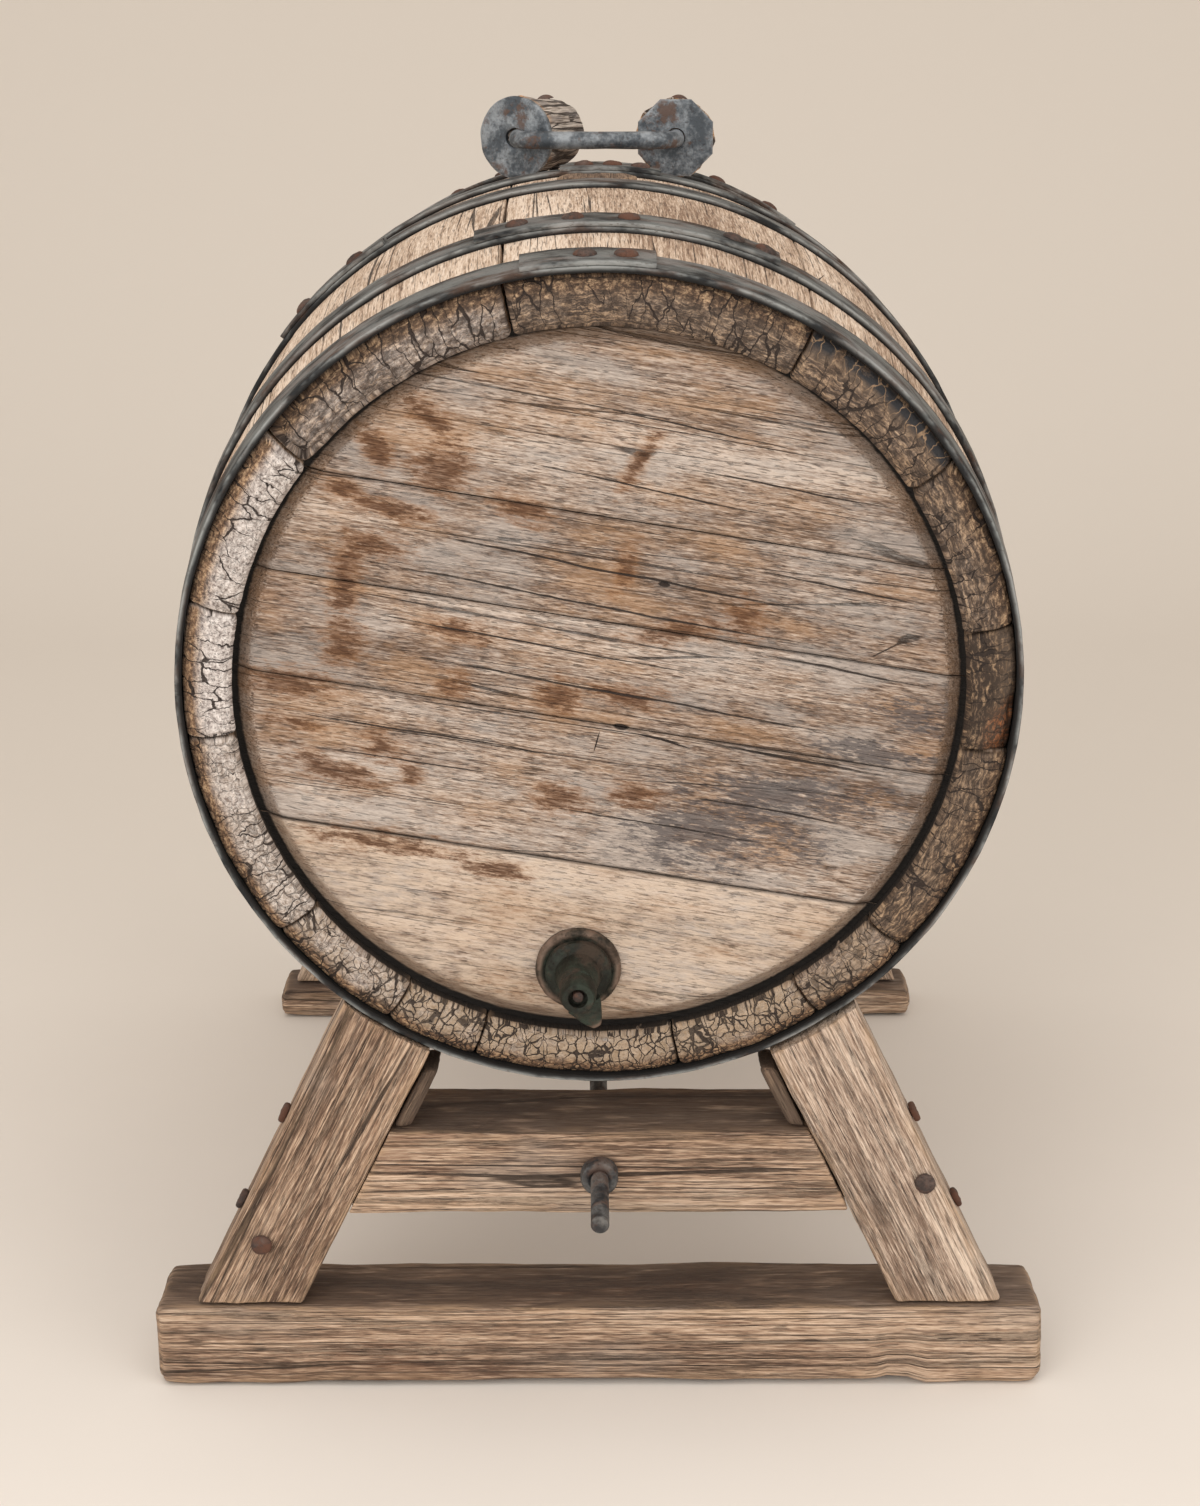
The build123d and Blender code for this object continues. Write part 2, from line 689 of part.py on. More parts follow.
trestles = (
    ("front", -1, chime_depth + front_leg_face, front_foot_height, chime_hoop_station),
    ("rear", 1, chime_depth + rear_leg_face, rear_foot_height, barrel_length - chime_hoop_station),
)
face_nails = (
    (-1, left_face_nail_height, left_face_nail_outset),
    (1, right_face_nail_height, right_face_nail_outset),
)
side_nail_seats = []
low_nail_seats = []
face_nail_seats = []
beam_nail_seats = []
nut_seats = []
for end, facing, leg_face, foot_height, hoop_station in trestles:
    foot_face = leg_face + facing * foot_lip
    leg_middle = leg_face - facing * leg_depth / 2
    beam_inner = leg_face - facing * beam_depth
    tenon_places = [(hand * leg_centre(foot_height), leg_middle) for hand in (-1, 1)]
    with BuildPart() as foot:
        with BuildSketch(Plane.XY):
            with Locations((0, foot_face - facing * foot_depth / 2)):
                Rectangle(foot_length, foot_depth)
        extrude(amount=foot_height)
        fillet(foot.edges().filter_by(Axis.Z), foot_end_round)
        with BuildSketch(Plane.XY.offset(foot_height)):
            with Locations(*tenon_places):
                Rectangle(tenon_width + 2 * tenon_clearance, tenon_depth + 2 * tenon_clearance)
        extrude(amount=-tenon_length - tenon_clearance, mode=Mode.SUBTRACT)
    keep(foot, f"{end}_foot")

    leg_nail_seats = {-1: [], 1: []}
    for hand, height, outset in face_nails:
        leg_nail_seats[hand] += [outer_nail(hand, side_nail_height, leg_middle)]
        leg_nail_seats[hand] += [outer_nail(hand, low_nail_height, leg_middle)]
        place = (hand * (leg_centre(height) + outset), leg_face, height)
        leg_nail_seats[hand] += [Plane(origin=place, x_dir=across, z_dir=(0, facing, 0))]
    nail_lengths = (side_nail_length, low_nail_length, face_nail_length)

    leg_top = axis_height + (leg_middle - chime_depth) * tan(tilt) - chime_radius / 2
    for side, hand in (("left", -1), ("right", 1)):
        with BuildPart() as leg:
            with BuildSketch(wall_plane(leg_middle)):
                with BuildLine():
                    Polyline((hand * (leg_centre(foot_height) - leg_half_width), foot_height),
                             (hand * (leg_centre(foot_height) + leg_half_width), foot_height),
                             (hand * (leg_centre(leg_top) + leg_half_width), leg_top),
                             (hand * (leg_centre(leg_top) - leg_half_width), leg_top), close=True)
                make_face()
            extrude(amount=leg_depth / 2, both=True)
            revolve(hoop_cone(hoop_station, 2 * leg_depth), axis=barrel_axis, mode=Mode.SUBTRACT)
            with BuildSketch(Plane.XY.offset(foot_height)):
                with Locations((hand * leg_centre(foot_height), leg_middle)):
                    Rectangle(tenon_width, tenon_depth)
            extrude(amount=-tenon_length)
            for seat, length in zip(leg_nail_seats[hand], nail_lengths):
                hole = round_hole(seat, nail_radius + nail_clearance)
                extrude(hole, amount=-length - nail_clearance, mode=Mode.SUBTRACT)
        keep(leg, f"{end}_leg_{side}")

        cleat_foot = beam_top + joint_gap
        cleat_top = cleat_foot + cleat_height
        inner_side = leg_half_width + joint_gap / cos(lean)
        cleat_span = cleat_thickness / cos(lean)
        cleat_face = leg_face - facing * cleat_setback
        with BuildPart() as cleat:
            with BuildSketch(wall_plane(cleat_face - facing * cleat_depth / 2)):
                with BuildLine():
                    Polyline((hand * (leg_centre(cleat_foot) - inner_side), cleat_foot),
                             (hand * (leg_centre(cleat_foot) - inner_side - cleat_span), cleat_foot),
                             (hand * (leg_centre(cleat_top) - inner_side - cleat_span), cleat_top),
                             (hand * (leg_centre(cleat_top) - inner_side), cleat_top), close=True)
                make_face()
            extrude(amount=cleat_depth / 2, both=True)
            revolve(hoop_cone(hoop_station, 2 * leg_depth), axis=barrel_axis, mode=Mode.SUBTRACT)
            toe = cleat.edges().filter_by(Axis.Y).group_by(Axis.Z)[0].sort_by(Axis.X)
            fillet(toe[0 if hand > 0 else -1], cleat_round)
        keep(cleat, f"{end}_cleat_{side}")

    beam_end = leg_half_width + joint_gap / cos(lean)
    with BuildPart() as beam:
        with BuildSketch(wall_plane((leg_face + beam_inner) / 2)):
            with BuildLine():
                Polyline((-leg_centre(beam_underside) + beam_end, beam_underside),
                         (leg_centre(beam_underside) - beam_end, beam_underside),
                         (leg_centre(beam_top) - beam_end, beam_top),
                         (-leg_centre(beam_top) + beam_end, beam_top), close=True)
            make_face()
        extrude(amount=beam_depth / 2, both=True)
        with BuildSketch(wall_plane(leg_middle)):
            with Locations((0, rod_height)):
                Circle(rod_radius + rod_clearance)
        extrude(amount=beam_depth, both=True, mode=Mode.SUBTRACT)
        for hand in (-1, 1):
            hole = round_hole(leg_nail_seats[hand][0], nail_radius + nail_clearance)
            extrude(hole, amount=-side_nail_length - nail_clearance, mode=Mode.SUBTRACT)
            nail_across = leg_centre(beam_underside) - beam_end - beam_nail_inset
            place = (hand * nail_across, leg_middle, beam_underside)
            beam_nail_seats += [Plane(origin=place, x_dir=across, z_dir=(0, 0, -1))]
            hole = round_hole(beam_nail_seats[-1], nail_radius + nail_clearance)
            extrude(hole, amount=-beam_nail_length - nail_clearance, mode=Mode.SUBTRACT)
    keep(beam, f"{end}_crossbeam")

    for hand in (-1, 1):
        side_nail_seats += leg_nail_seats[hand][:1]
        low_nail_seats += leg_nail_seats[hand][1:2]
        face_nail_seats += leg_nail_seats[hand][2:]
    for nut_depth, direction in ((leg_face, facing), (beam_inner, -facing)):
        nut_place = (0, nut_depth, rod_height)
        nut_seats += [Plane(origin=nut_place, x_dir=across, z_dir=(0, direction, 0))]


# Nails of the stand


def nail_group(groups):
    """All nails of one node, as pairs of a seat and a length."""
    with BuildPart() as nails:
        for seat, length in groups:
            section = button_section(seat, nail_head_radius, nail_head_height, nail_radius, length)
            revolve(section, axis=Axis(seat.origin, seat.z_dir))
    return nails


leg_nail_groups = [(seat, side_nail_length) for seat in side_nail_seats]
leg_nail_groups += [(seat, low_nail_length) for seat in low_nail_seats]
leg_nail_groups += [(seat, face_nail_length) for seat in face_nail_seats]
keep(nail_group(leg_nail_groups), "leg_nails")
keep(nail_group([(seat, beam_nail_length) for seat in beam_nail_seats]), "beam_nails")


# Tie rod and its round nuts


rod_front = chime_depth + front_leg_face - rod_reach
rod_back = chime_depth + rear_leg_face + rod_tail
rod_shoulder = chime_depth + front_leg_face - nut_thickness
with BuildPart() as tie_rod:
    with BuildSketch(wall_plane(rod_back)):
        with Locations((0, rod_height)):
            Circle(rod_radius)
    extrude(amount=rod_back - rod_shoulder)
    with BuildSketch(wall_plane(rod_shoulder)):
        with Locations((0, rod_height)):
            Circle(rod_end_radius)
    extrude(amount=rod_shoulder - rod_front)
    rod_tips = tie_rod.edges().filter_by(GeomType.CIRCLE).sort_by(Axis.Y)
    chamfer([rod_tips[0], rod_tips[-1]], rod_chamfer)
keep(tie_rod, "tie_rod")

with BuildPart() as tie_nuts:
    for seat in nut_seats:
        with BuildSketch(seat):
            Circle(nut_radius)
            Circle(rod_radius + nut_clearance, mode=Mode.SUBTRACT)
        extrude(amount=nut_thickness)
keep(tie_nuts, "tie_nuts")
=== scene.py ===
"""Look of a weathered oak cask on its trestle stand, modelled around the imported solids."""
import logging
import math
from dataclasses import dataclass, field, replace
from enum import Enum
from typing import Callable, Sequence

import bpy
import numpy as np
from mathutils import Matrix, Vector, noise


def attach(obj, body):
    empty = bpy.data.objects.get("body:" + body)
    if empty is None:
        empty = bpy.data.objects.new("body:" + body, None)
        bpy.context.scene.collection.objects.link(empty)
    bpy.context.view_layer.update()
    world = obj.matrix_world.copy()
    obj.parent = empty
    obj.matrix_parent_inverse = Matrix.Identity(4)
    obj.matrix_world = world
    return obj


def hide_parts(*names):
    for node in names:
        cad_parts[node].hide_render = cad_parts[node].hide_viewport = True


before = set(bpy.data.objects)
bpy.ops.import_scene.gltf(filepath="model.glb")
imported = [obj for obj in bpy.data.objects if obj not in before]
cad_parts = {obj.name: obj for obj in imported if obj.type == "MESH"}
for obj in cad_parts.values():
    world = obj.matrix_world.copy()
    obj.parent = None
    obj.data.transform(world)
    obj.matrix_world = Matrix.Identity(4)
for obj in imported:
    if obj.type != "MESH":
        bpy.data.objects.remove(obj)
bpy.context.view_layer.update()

LOG = logging.getLogger("cask")
TINY = 1e-9
TOLERANCE = 1e-6

Piece = bpy.types.Object
Material = bpy.types.Material
Array = np.ndarray
Triple = tuple[float, float, float]
Colour = Triple
Spot = tuple[float, float, float, float, float]
Profile = Sequence[tuple[float, float]]


class Side(Enum):
    """Side of the stand or handle as the viewer sees it."""

    LEFT = -1
    RIGHT = 1


class End(Enum):
    """End of the cask: the tap's end or the back."""

    FRONT = -1
    REAR = 1


class Body(Enum):
    """Body that a piece rides on."""

    FIXED = "cask_and_stand"
    BUNG = "bung"
    TAP_KEY = "tap_key"
    BAIL = "handle_bail"


class Slot(Enum):
    """Material slot that a piece fills."""

    STAVE_OAK = "stave_oak"
    HEAD_OAK = "head_oak"
    STAND_OAK = "stand_oak"
    BLOCK_OAK = "block_oak"
    BUNG_OAK = "bung_oak"
    HOOP_IRON = "hoop_iron"
    RUSTY_IRON = "rusty_iron"
    HANDLE_IRON = "handle_iron"
    TAP_BRONZE = "tap_bronze"


def paint(red: int, green: int, blue: int) -> Colour:
    """Turn a display colour, 0 to 255 each, into the linear colour that shaders use."""
    shares = (red / 255, green / 255, blue / 255)
    return tuple(s / 12.92 if s <= 0.04045 else ((s + 0.055) / 1.055) ** 2.4 for s in shares)


def held(values: Array) -> Array:
    """Keep values between 0 and 1."""
    return np.clip(values, 0.0, 1.0)


def columns(*values: Array) -> Array:
    """Set rows of values side by side, as the columns of one table."""
    return np.stack(values, axis=1)


class Wire:
    """A node's output that Python's operators work on, each adding a Math node."""

    def __init__(self, mixture: "Mixture", socket: bpy.types.NodeSocket) -> None:
        """Keep the socket and the mixture that it belongs to."""
        self.mixture = mixture
        self.socket = socket

    def math(self, operation: str, other: "Wire | float", flip: bool = False) -> "Wire":
        """Add a Math node for this value and another, which comes first if they are flipped."""
        sockets = dict(enumerate((other, self) if flip else (self, other)))
        return self.mixture.node("ShaderNodeMath", {"operation": operation}, sockets)

    def __add__(self, other: "Wire | float") -> "Wire":
        """Sum."""
        return self.math("ADD", other)

    __radd__ = __add__

    def __sub__(self, other: "Wire | float") -> "Wire":
        """Difference."""
        return self.math("SUBTRACT", other)

    def __rsub__(self, other: float) -> "Wire":
        """Difference from a number."""
        return self.math("SUBTRACT", other, flip=True)

    def __mul__(self, other: "Wire | float") -> "Wire":
        """Product."""
        return self.math("MULTIPLY", other)

    __rmul__ = __mul__

    def __truediv__(self, other: "Wire | float") -> "Wire":
        """Quotient."""
        return self.math("DIVIDE", other)

    def least(self, other: "Wire | float") -> "Wire":
        """Smaller of two values."""
        return self.math("MINIMUM", other)

    def most(self, other: "Wire | float") -> "Wire":
        """Larger of two values."""
        return self.math("MAXIMUM", other)

    def held(self) -> "Wire":
        """Value kept between 0 and 1."""
        return self.most(0.0).least(1.0)


class Mixture:
    """A material under construction, with its nodes."""

    def __init__(self, name: str) -> None:
        """Start an empty material with one surface shader.

        Args:
            name: The material's name.
        """
        self.material = bpy.data.materials.new(name)
        self.material.use_nodes = True
        self.tree = self.material.node_tree
        self.tree.nodes.clear()
        self.shader = self.tree.nodes.new("ShaderNodeBsdfPrincipled")
        output = self.tree.nodes.new("ShaderNodeOutputMaterial")
        self.tree.links.new(self.shader.outputs[0], output.inputs[0])

    def node(self, kind: str, settings: dict | None = None, sockets: dict | None = None,
             out: int | str = 0) -> Wire:
        """Add any node.

        Args:
            kind: The node's type.
            settings: Its settings, which are set first; "stops" gives a ramp's colours.
            sockets: Values or links of its inputs, by name, identifier or number.
            out: The output that is wanted.

        Returns:
            That output.
        """
        node = self.tree.nodes.new(kind)
        for key, value in (settings or {}).items():
            if key == "stops":
                while len(node.color_ramp.elements) < len(value):
                    node.color_ramp.elements.new(1.0)
                for element, (place, colour) in zip(node.color_ramp.elements, value):
                    element.position = place
                    element.color = (*colour, 1.0)
            else:
                setattr(node, key, value)
        for key, value in (sockets or {}).items():
            self.feed(self.socket(node.inputs, key), value)
        return Wire(self, self.socket(node.outputs, out))

    @staticmethod
    def socket(group: Sequence, key: int | str) -> bpy.types.NodeSocket:
        """Find a socket by number, identifier or name."""
        return next((s for s in group if s.identifier == key), None) or group[key]

    def feed(self, socket: bpy.types.NodeSocket, value: object) -> None:
        """Link a socket to a wire, or set its value.

        Args:
            socket: The input.
            value: A wire, number, vector or colour.
        """
        if isinstance(value, Wire):
            self.tree.links.new(value.socket, socket)
        elif isinstance(value, tuple) and socket.type == "RGBA":
            socket.default_value = (*value, 1.0)
        else:
            socket.default_value = value

    def mark(self, name: str) -> Wire:
        """Read a number that the piece's own mesh carries."""
        return self.node("ShaderNodeAttribute", {"attribute_name": name}, out="Fac")

    def grain(self) -> Wire:
        """Read the place in the timber that the piece's own mesh carries."""
        return self.node("ShaderNodeAttribute", {"attribute_name": "grain"}, out="Vector")

    def place(self) -> Wire:
        """Read the place on the object."""
        return self.node("ShaderNodeTexCoord", out="Object")

    def vector(self, operation: str, first: Wire, second: object) -> Wire:
        """Work on two vectors."""
        return self.node("ShaderNodeVectorMath", {"operation": operation}, {0: first, 1: second})

    def split(self, vector: Wire) -> tuple[Wire, Wire, Wire]:
        """Take a vector apart."""
        outputs = self.node("ShaderNodeSeparateXYZ", {}, {0: vector}).socket.node.outputs
        return tuple(Wire(self, output) for output in outputs)

    def cloud(self, vector: Wire, scale: Triple, detail: float = 2.0, rough: float = 0.5) -> Wire:
        """Soft noise, stretched by a scale per axis.

        Args:
            vector: Place that it reads.
            scale: Scale along each axis.
            detail: How many finer layers it has.
            rough: How strong they are.

        Returns:
            About 0 to 1.
        """
        stretched = self.vector("MULTIPLY", vector, scale)
        sockets = {"Vector": stretched, "Scale": 1.0, "Detail": detail, "Roughness": rough}
        return self.node("ShaderNodeTexNoise", {}, sockets)

    def waver(self, vector: Wire, scale: Triple, detail: float = 2.0, rough: float = 0.5) -> Wire:
        """Soft noise about zero."""
        return self.cloud(vector, scale, detail, rough) - 0.5

    def bend(self, vector: Wire, across: Wire, deep: Wire | float = 0.0) -> Wire:
        """Push places aside, across the timber and into its depth."""
        push = self.node("ShaderNodeCombineXYZ", {}, {0: across, 2: deep})
        return self.vector("ADD", vector, push)

    def cells(self, vector: Wire, scale: Triple) -> Wire:
        """Distance to the borders of a net of cells, stretched by a scale per axis."""
        sockets = {"Vector": self.vector("MULTIPLY", vector, scale), "Scale": 1.0}
        return self.node("ShaderNodeTexVoronoi", {"feature": "DISTANCE_TO_EDGE"}, sockets)

    def fade(self, value: Wire, start: float, stop: float) -> Wire:
        """Ease from 0 at the start to 1 at the stop."""
        sockets = {"Value": value, "From Min": start, "From Max": stop}
        return self.node("ShaderNodeMapRange", {"interpolation_type": "SMOOTHSTEP"}, sockets)

    def blend(self, first: object, second: object, factor: object) -> Wire:
        """Mix two colours."""
        sockets = {"Factor_Float": factor, "A_Color": first, "B_Color": second}
        return self.node("ShaderNodeMix", {"data_type": "RGBA"}, sockets, "Result_Color")

    def ramp(self, value: Wire, *stops: tuple[float, Colour]) -> Wire:
        """Turn a value into a colour."""
        return self.node("ShaderNodeValToRGB", {"stops": stops}, {0: value})

    def nearest(self, vector: Wire, spots: Sequence[Spot]) -> Wire:
        """Distance to the nearest of some long spots, 1 at their borders.

        Args:
            vector: Place in the timber: across, along and deep.
            spots: Each spot's place across and along, half width, half length, and turn in degrees.

        Returns:
            The distance.
        """
        result = None
        for across, along, wide, long, turn in spots:
            local = self.node("ShaderNodeMapping", {"vector_type": "TEXTURE"}, {
                "Vector": vector,
                "Location": (across, along, 0.0),
                "Rotation": (0.0, 0.0, math.radians(turn)),
                "Scale": (wide, long, 1.0),
            })
            flat = self.vector("MULTIPLY", local, (1.0, 1.0, 0.0))
            length = self.node("ShaderNodeVectorMath", {"operation": "LENGTH"}, {0: flat}, "Value")
            result = length if result is None else result.least(length)
        return result

    def finish(self, colour: Wire, rough: Wire | float, height: Wire, depth: float,
               metal: Wire | float = 0.0) -> Material:
        """Feed the surface shader.

        Args:
            colour: Base colour.
            rough: Roughness.
            height: Height for the bump.
            depth: Depth of a whole step of that height, in metres.
            metal: How metallic the surface is.

        Returns:
            The finished material.
        """
        normal = self.node("ShaderNodeBump", {}, {"Height": height, "Distance": depth}, "Normal")
        inputs = {"Base Color": colour, "Roughness": rough, "Metallic": metal, "Normal": normal}
        for name, value in inputs.items():
            self.feed(self.shader.inputs[name], value)
        return self.material


class Air(Mixture):
    """The world under construction, with its nodes."""

    def __init__(self, name: str) -> None:
        """Start an empty world.

        Args:
            name: The world's name.
        """
        world = bpy.data.worlds.new(name)
        bpy.context.scene.world = world
        world.use_nodes = True
        self.tree = world.node_tree
        self.tree.nodes.clear()
        self.output = self.tree.nodes.new("ShaderNodeOutputWorld")


@dataclass(frozen=True)
class OakFinish:
    """Weathered oak, with long fibres, checks along the grain and worn edges."""

    name: str = "stand_oak"
    dark: Colour = paint(92, 68, 52)
    middle: Colour = paint(164, 135, 111)
    light: Colour = paint(209, 183, 158)
    edge: Colour = paint(182, 150, 118)
    grime: Colour = paint(77, 60, 50)
    stain: Colour = paint(104, 66, 42)
    crack: Colour = paint(38, 26, 19)
    ash: Colour = paint(176, 160, 145)
    stained: float = 0.55
    bleached: float = 0.0
    hairs: float = 0.0
    pores: float = 0.5
    fibre_pitch: float = 0.3
    check_scale: Triple = (62.0, 0.8, 9.0)
    check_width: float = 0.022
    bump_depth: float = 0.0011

    def body(self, mix: Mixture) -> tuple[Wire, Wire, Wire]:
        """Lay the bare timber.

        Args:
            mix: The material.
        """
        grain = mix.grain()
        sway = mix.waver(grain, (7.0, 1.6, 7.0))
        run = mix.bend(grain, sway * 0.012, sway * 0.008)
        broad = mix.cloud(run, (26.0, 3.0, 26.0), 3.0)
        bands = mix.cloud(run, (250.0, 6.0, 250.0), 3.0, 0.6)
        fibre = mix.cloud(run, (1000.0, 95.0 * self.fibre_pitch, 1000.0), 3.0, 0.7)
        fleck = mix.cloud(run, (1900.0, 360.0 * self.fibre_pitch, 1900.0), 2.0, 0.65)
        tone = broad * 0.6 + bands * 0.4 + fibre * 0.75 + fleck * 0.6 - 0.675
        colour = mix.ramp(tone, (0.33, self.dark), (0.5, self.middle), (0.67, self.light))
        blotch = mix.cloud(grain, (20.0, 7.0, 20.0), 4.0, 0.6)
        colour = mix.blend(colour, self.stain, mix.fade(blotch, 0.54, 0.74) * self.stained)
        if self.bleached:
            colour = mix.blend(colour, self.ash, mix.fade(blotch, 0.50, 0.34) * self.bleached)
        net = mix.cells(run, self.check_scale)
        opening = mix.fade(mix.cloud(grain, (45.0, 5.0, 45.0), 2.0), 0.42, 0.66) * self.check_width
        check = mix.fade(net / (opening + 0.001), 1.0, 0.5) * mix.fade(fibre, 0.34, 0.54)
        if self.hairs:
            hair = mix.fade(mix.cells(run, (165.0, 2.2, 14.0)), 0.085, 0.03)
            check = check.most(hair * mix.fade(bands * 0.5 + fleck * 0.5, 0.44, 0.56) * self.hairs)
        tick = mix.cloud(run, (1150.0, 190.0 * self.fibre_pitch, 1150.0), 1.0)
        pores = mix.fade(tick, 0.60, 0.70)
        colour = mix.blend(colour, self.light, mix.fade(tick, 0.40, 0.30) * 0.4)
        colour = mix.blend(colour, self.crack, (check + pores * self.pores).held() * 0.9)
        height = bands * 0.4 + fibre * 0.6 + fleck * 0.3 - check * 1.3 - pores * 0.5
        return colour, height, check

    def wear(self, mix: Mixture, colour: Wire) -> Wire:
        """Lighten the worn edges and darken the marked parts: grime, darker upward faces, and
        painted shade in the staves' bore, on the cleats and the crossbeam.

        Args:
            mix: The material.
            colour: The bare timber's colour.

        Returns:
            The worn colour.
        """
        patch = mix.cloud(mix.grain(), (160.0, 30.0, 160.0), 3.0)
        # darkening from the mark: real grime on some pieces, painted shade on the staves' bore, the
        # cleats and the crossbeam
        grime = mix.mark("grime") * mix.fade(patch, 0.18, 0.52)
        colour = mix.blend(colour, self.grime, (grime * 0.82).held())
        worn = mix.mark("wear") * mix.fade(patch, 0.38, 0.62) * 0.75
        return mix.blend(colour, self.edge, worn.held())

    def make(self) -> Material:
        """Make the material.

        Returns:
            The material.
        """
        mix = Mixture(self.name)
        colour, height, check = self.body(mix)
        return mix.finish(self.wear(mix, colour), 0.78 + check * 0.15, height, self.bump_depth)


@dataclass(frozen=True)
class StaveFinish(OakFinish):
    """Stave oak, with a dense net of cracks on the ends and brown chamfers."""

    brown_dark: Colour = paint(54, 41, 31)
    brown: Colour = paint(118, 94, 74)
    brown_light: Colour = paint(176, 146, 114)
    grey_dark: Colour = paint(120, 110, 106)
    grey: Colour = paint(188, 178, 172)
    grey_light: Colour = paint(232, 224, 218)
    rim_dark: Colour = paint(70, 51, 38)
    rim: Colour = paint(126, 97, 73)
    rim_light: Colour = paint(190, 158, 124)
    scorch: Colour = paint(42, 42, 45)
    fresh: Colour = paint(160, 98, 56)
    light_crack: Colour = paint(156, 128, 100)
    gold: Colour = paint(158, 134, 104)

    def make(self) -> Material:
        """Make the material.

        Returns:
            The material.
        """
        mix = Mixture(self.name)
        colour, height, check = self.body(mix)
        colour = self.wear(mix, colour)
        grain = mix.grain()
        end, pale, rim, net = (mix.mark(name) for name in ("end", "pale", "rim", "net"))
        bent = mix.bend(grain, mix.waver(grain, (130.0, 20.0, 130.0), 3.0) * 0.008,
                        mix.waver(grain, (120.0, 20.0, 150.0), 3.0) * 0.008)
        patch = mix.cloud(grain, (48.0, 20.0, 48.0), 3.0)
        mottle = mix.cloud(grain, (230.0, 60.0, 400.0), 4.0, 0.72)
        dash = mix.cloud(bent, (820.0, 60.0, 480.0), 2.0, 0.6)
        rings = mix.cloud(bent, (90.0, 12.0, 1000.0), 3.0, 0.6)
        wood = rings * 1.1 + mottle * 0.6 - 0.35
        brown = mix.ramp(wood, (0.33, self.brown_dark), (0.5, self.brown), (0.68, self.brown_light))
        ash = mottle * 0.9 + dash * 0.8 - 0.35
        grey = mix.ramp(ash, (0.33, self.grey_dark), (0.48, self.grey), (0.64, self.grey_light))
        skin = mix.blend(brown, grey, (pale * 1.2 + (patch - 0.5) * 1.1 * (pale + 0.15)).held())
        skin = mix.blend(skin, self.gold, net * mix.fade(patch, 0.3, 0.56) * 0.65)
        crust = mottle * 1.1 + dash * 0.6 - 0.35
        tan = mix.ramp(crust, (0.34, self.rim_dark), (0.5, self.rim), (0.66, self.rim_light))
        crusted = (rim * (1.2 - pale * 0.2)).held() * mix.fade(mottle + rim * 0.3, 0.4, 0.66)
        skin = mix.blend(skin, tan, crusted)
        soiled = mix.mark("dark") * mix.fade(mottle * 0.6 + rings * 0.4, 0.72, 0.36)
        skin = mix.blend(skin, self.brown_dark, soiled)
        blocks = mix.cells(bent, (150.0, 2.0, 84.0))
        burnt = mix.mark("scorch") * mix.fade(patch + mottle * 0.4, 0.48, 0.68)
        skin = mix.blend(skin, self.light_crack, burnt * 0.7)
        skin = mix.blend(skin, self.scorch, burnt * mix.fade(blocks, 0.01, 0.045))
        torn = mix.blend(self.rim_dark, self.fresh, mix.fade(mottle, 0.42, 0.62))
        skin = mix.blend(skin, torn, mix.mark("fresh") * mix.fade(dash, 0.34, 0.5))
        radial = mix.cells(bent, (115.0, 1.0, 36.0))
        spread = mix.fade(patch, 0.36, 0.62)
        cracks = mix.fade(radial / (spread * 0.035 + 0.002), 1.0, 0.5) * (1.0 - burnt)
        small = mix.fade(mix.cells(bent, (165.0, 1.0, 165.0)) / (spread * 0.075 + 0.008), 1.0, 0.4)
        cracks = cracks.most(small * net)
        ticks = mix.fade(dash, 0.58, 0.68) * (pale * 0.5 + 0.25)
        skin = mix.blend(skin, self.crack, (cracks * 0.95 + ticks * 0.8).held())
        colour = mix.blend(colour, skin, mix.fade(end, 0.15, 0.6))
        rough_end = (mottle * 0.9 + dash * 0.5 - cracks * 1.6 - ticks * 0.5) * end
        height = height * (1.0 - end) + rough_end
        return mix.finish(colour, 0.80 + check * 0.1, height, self.bump_depth)


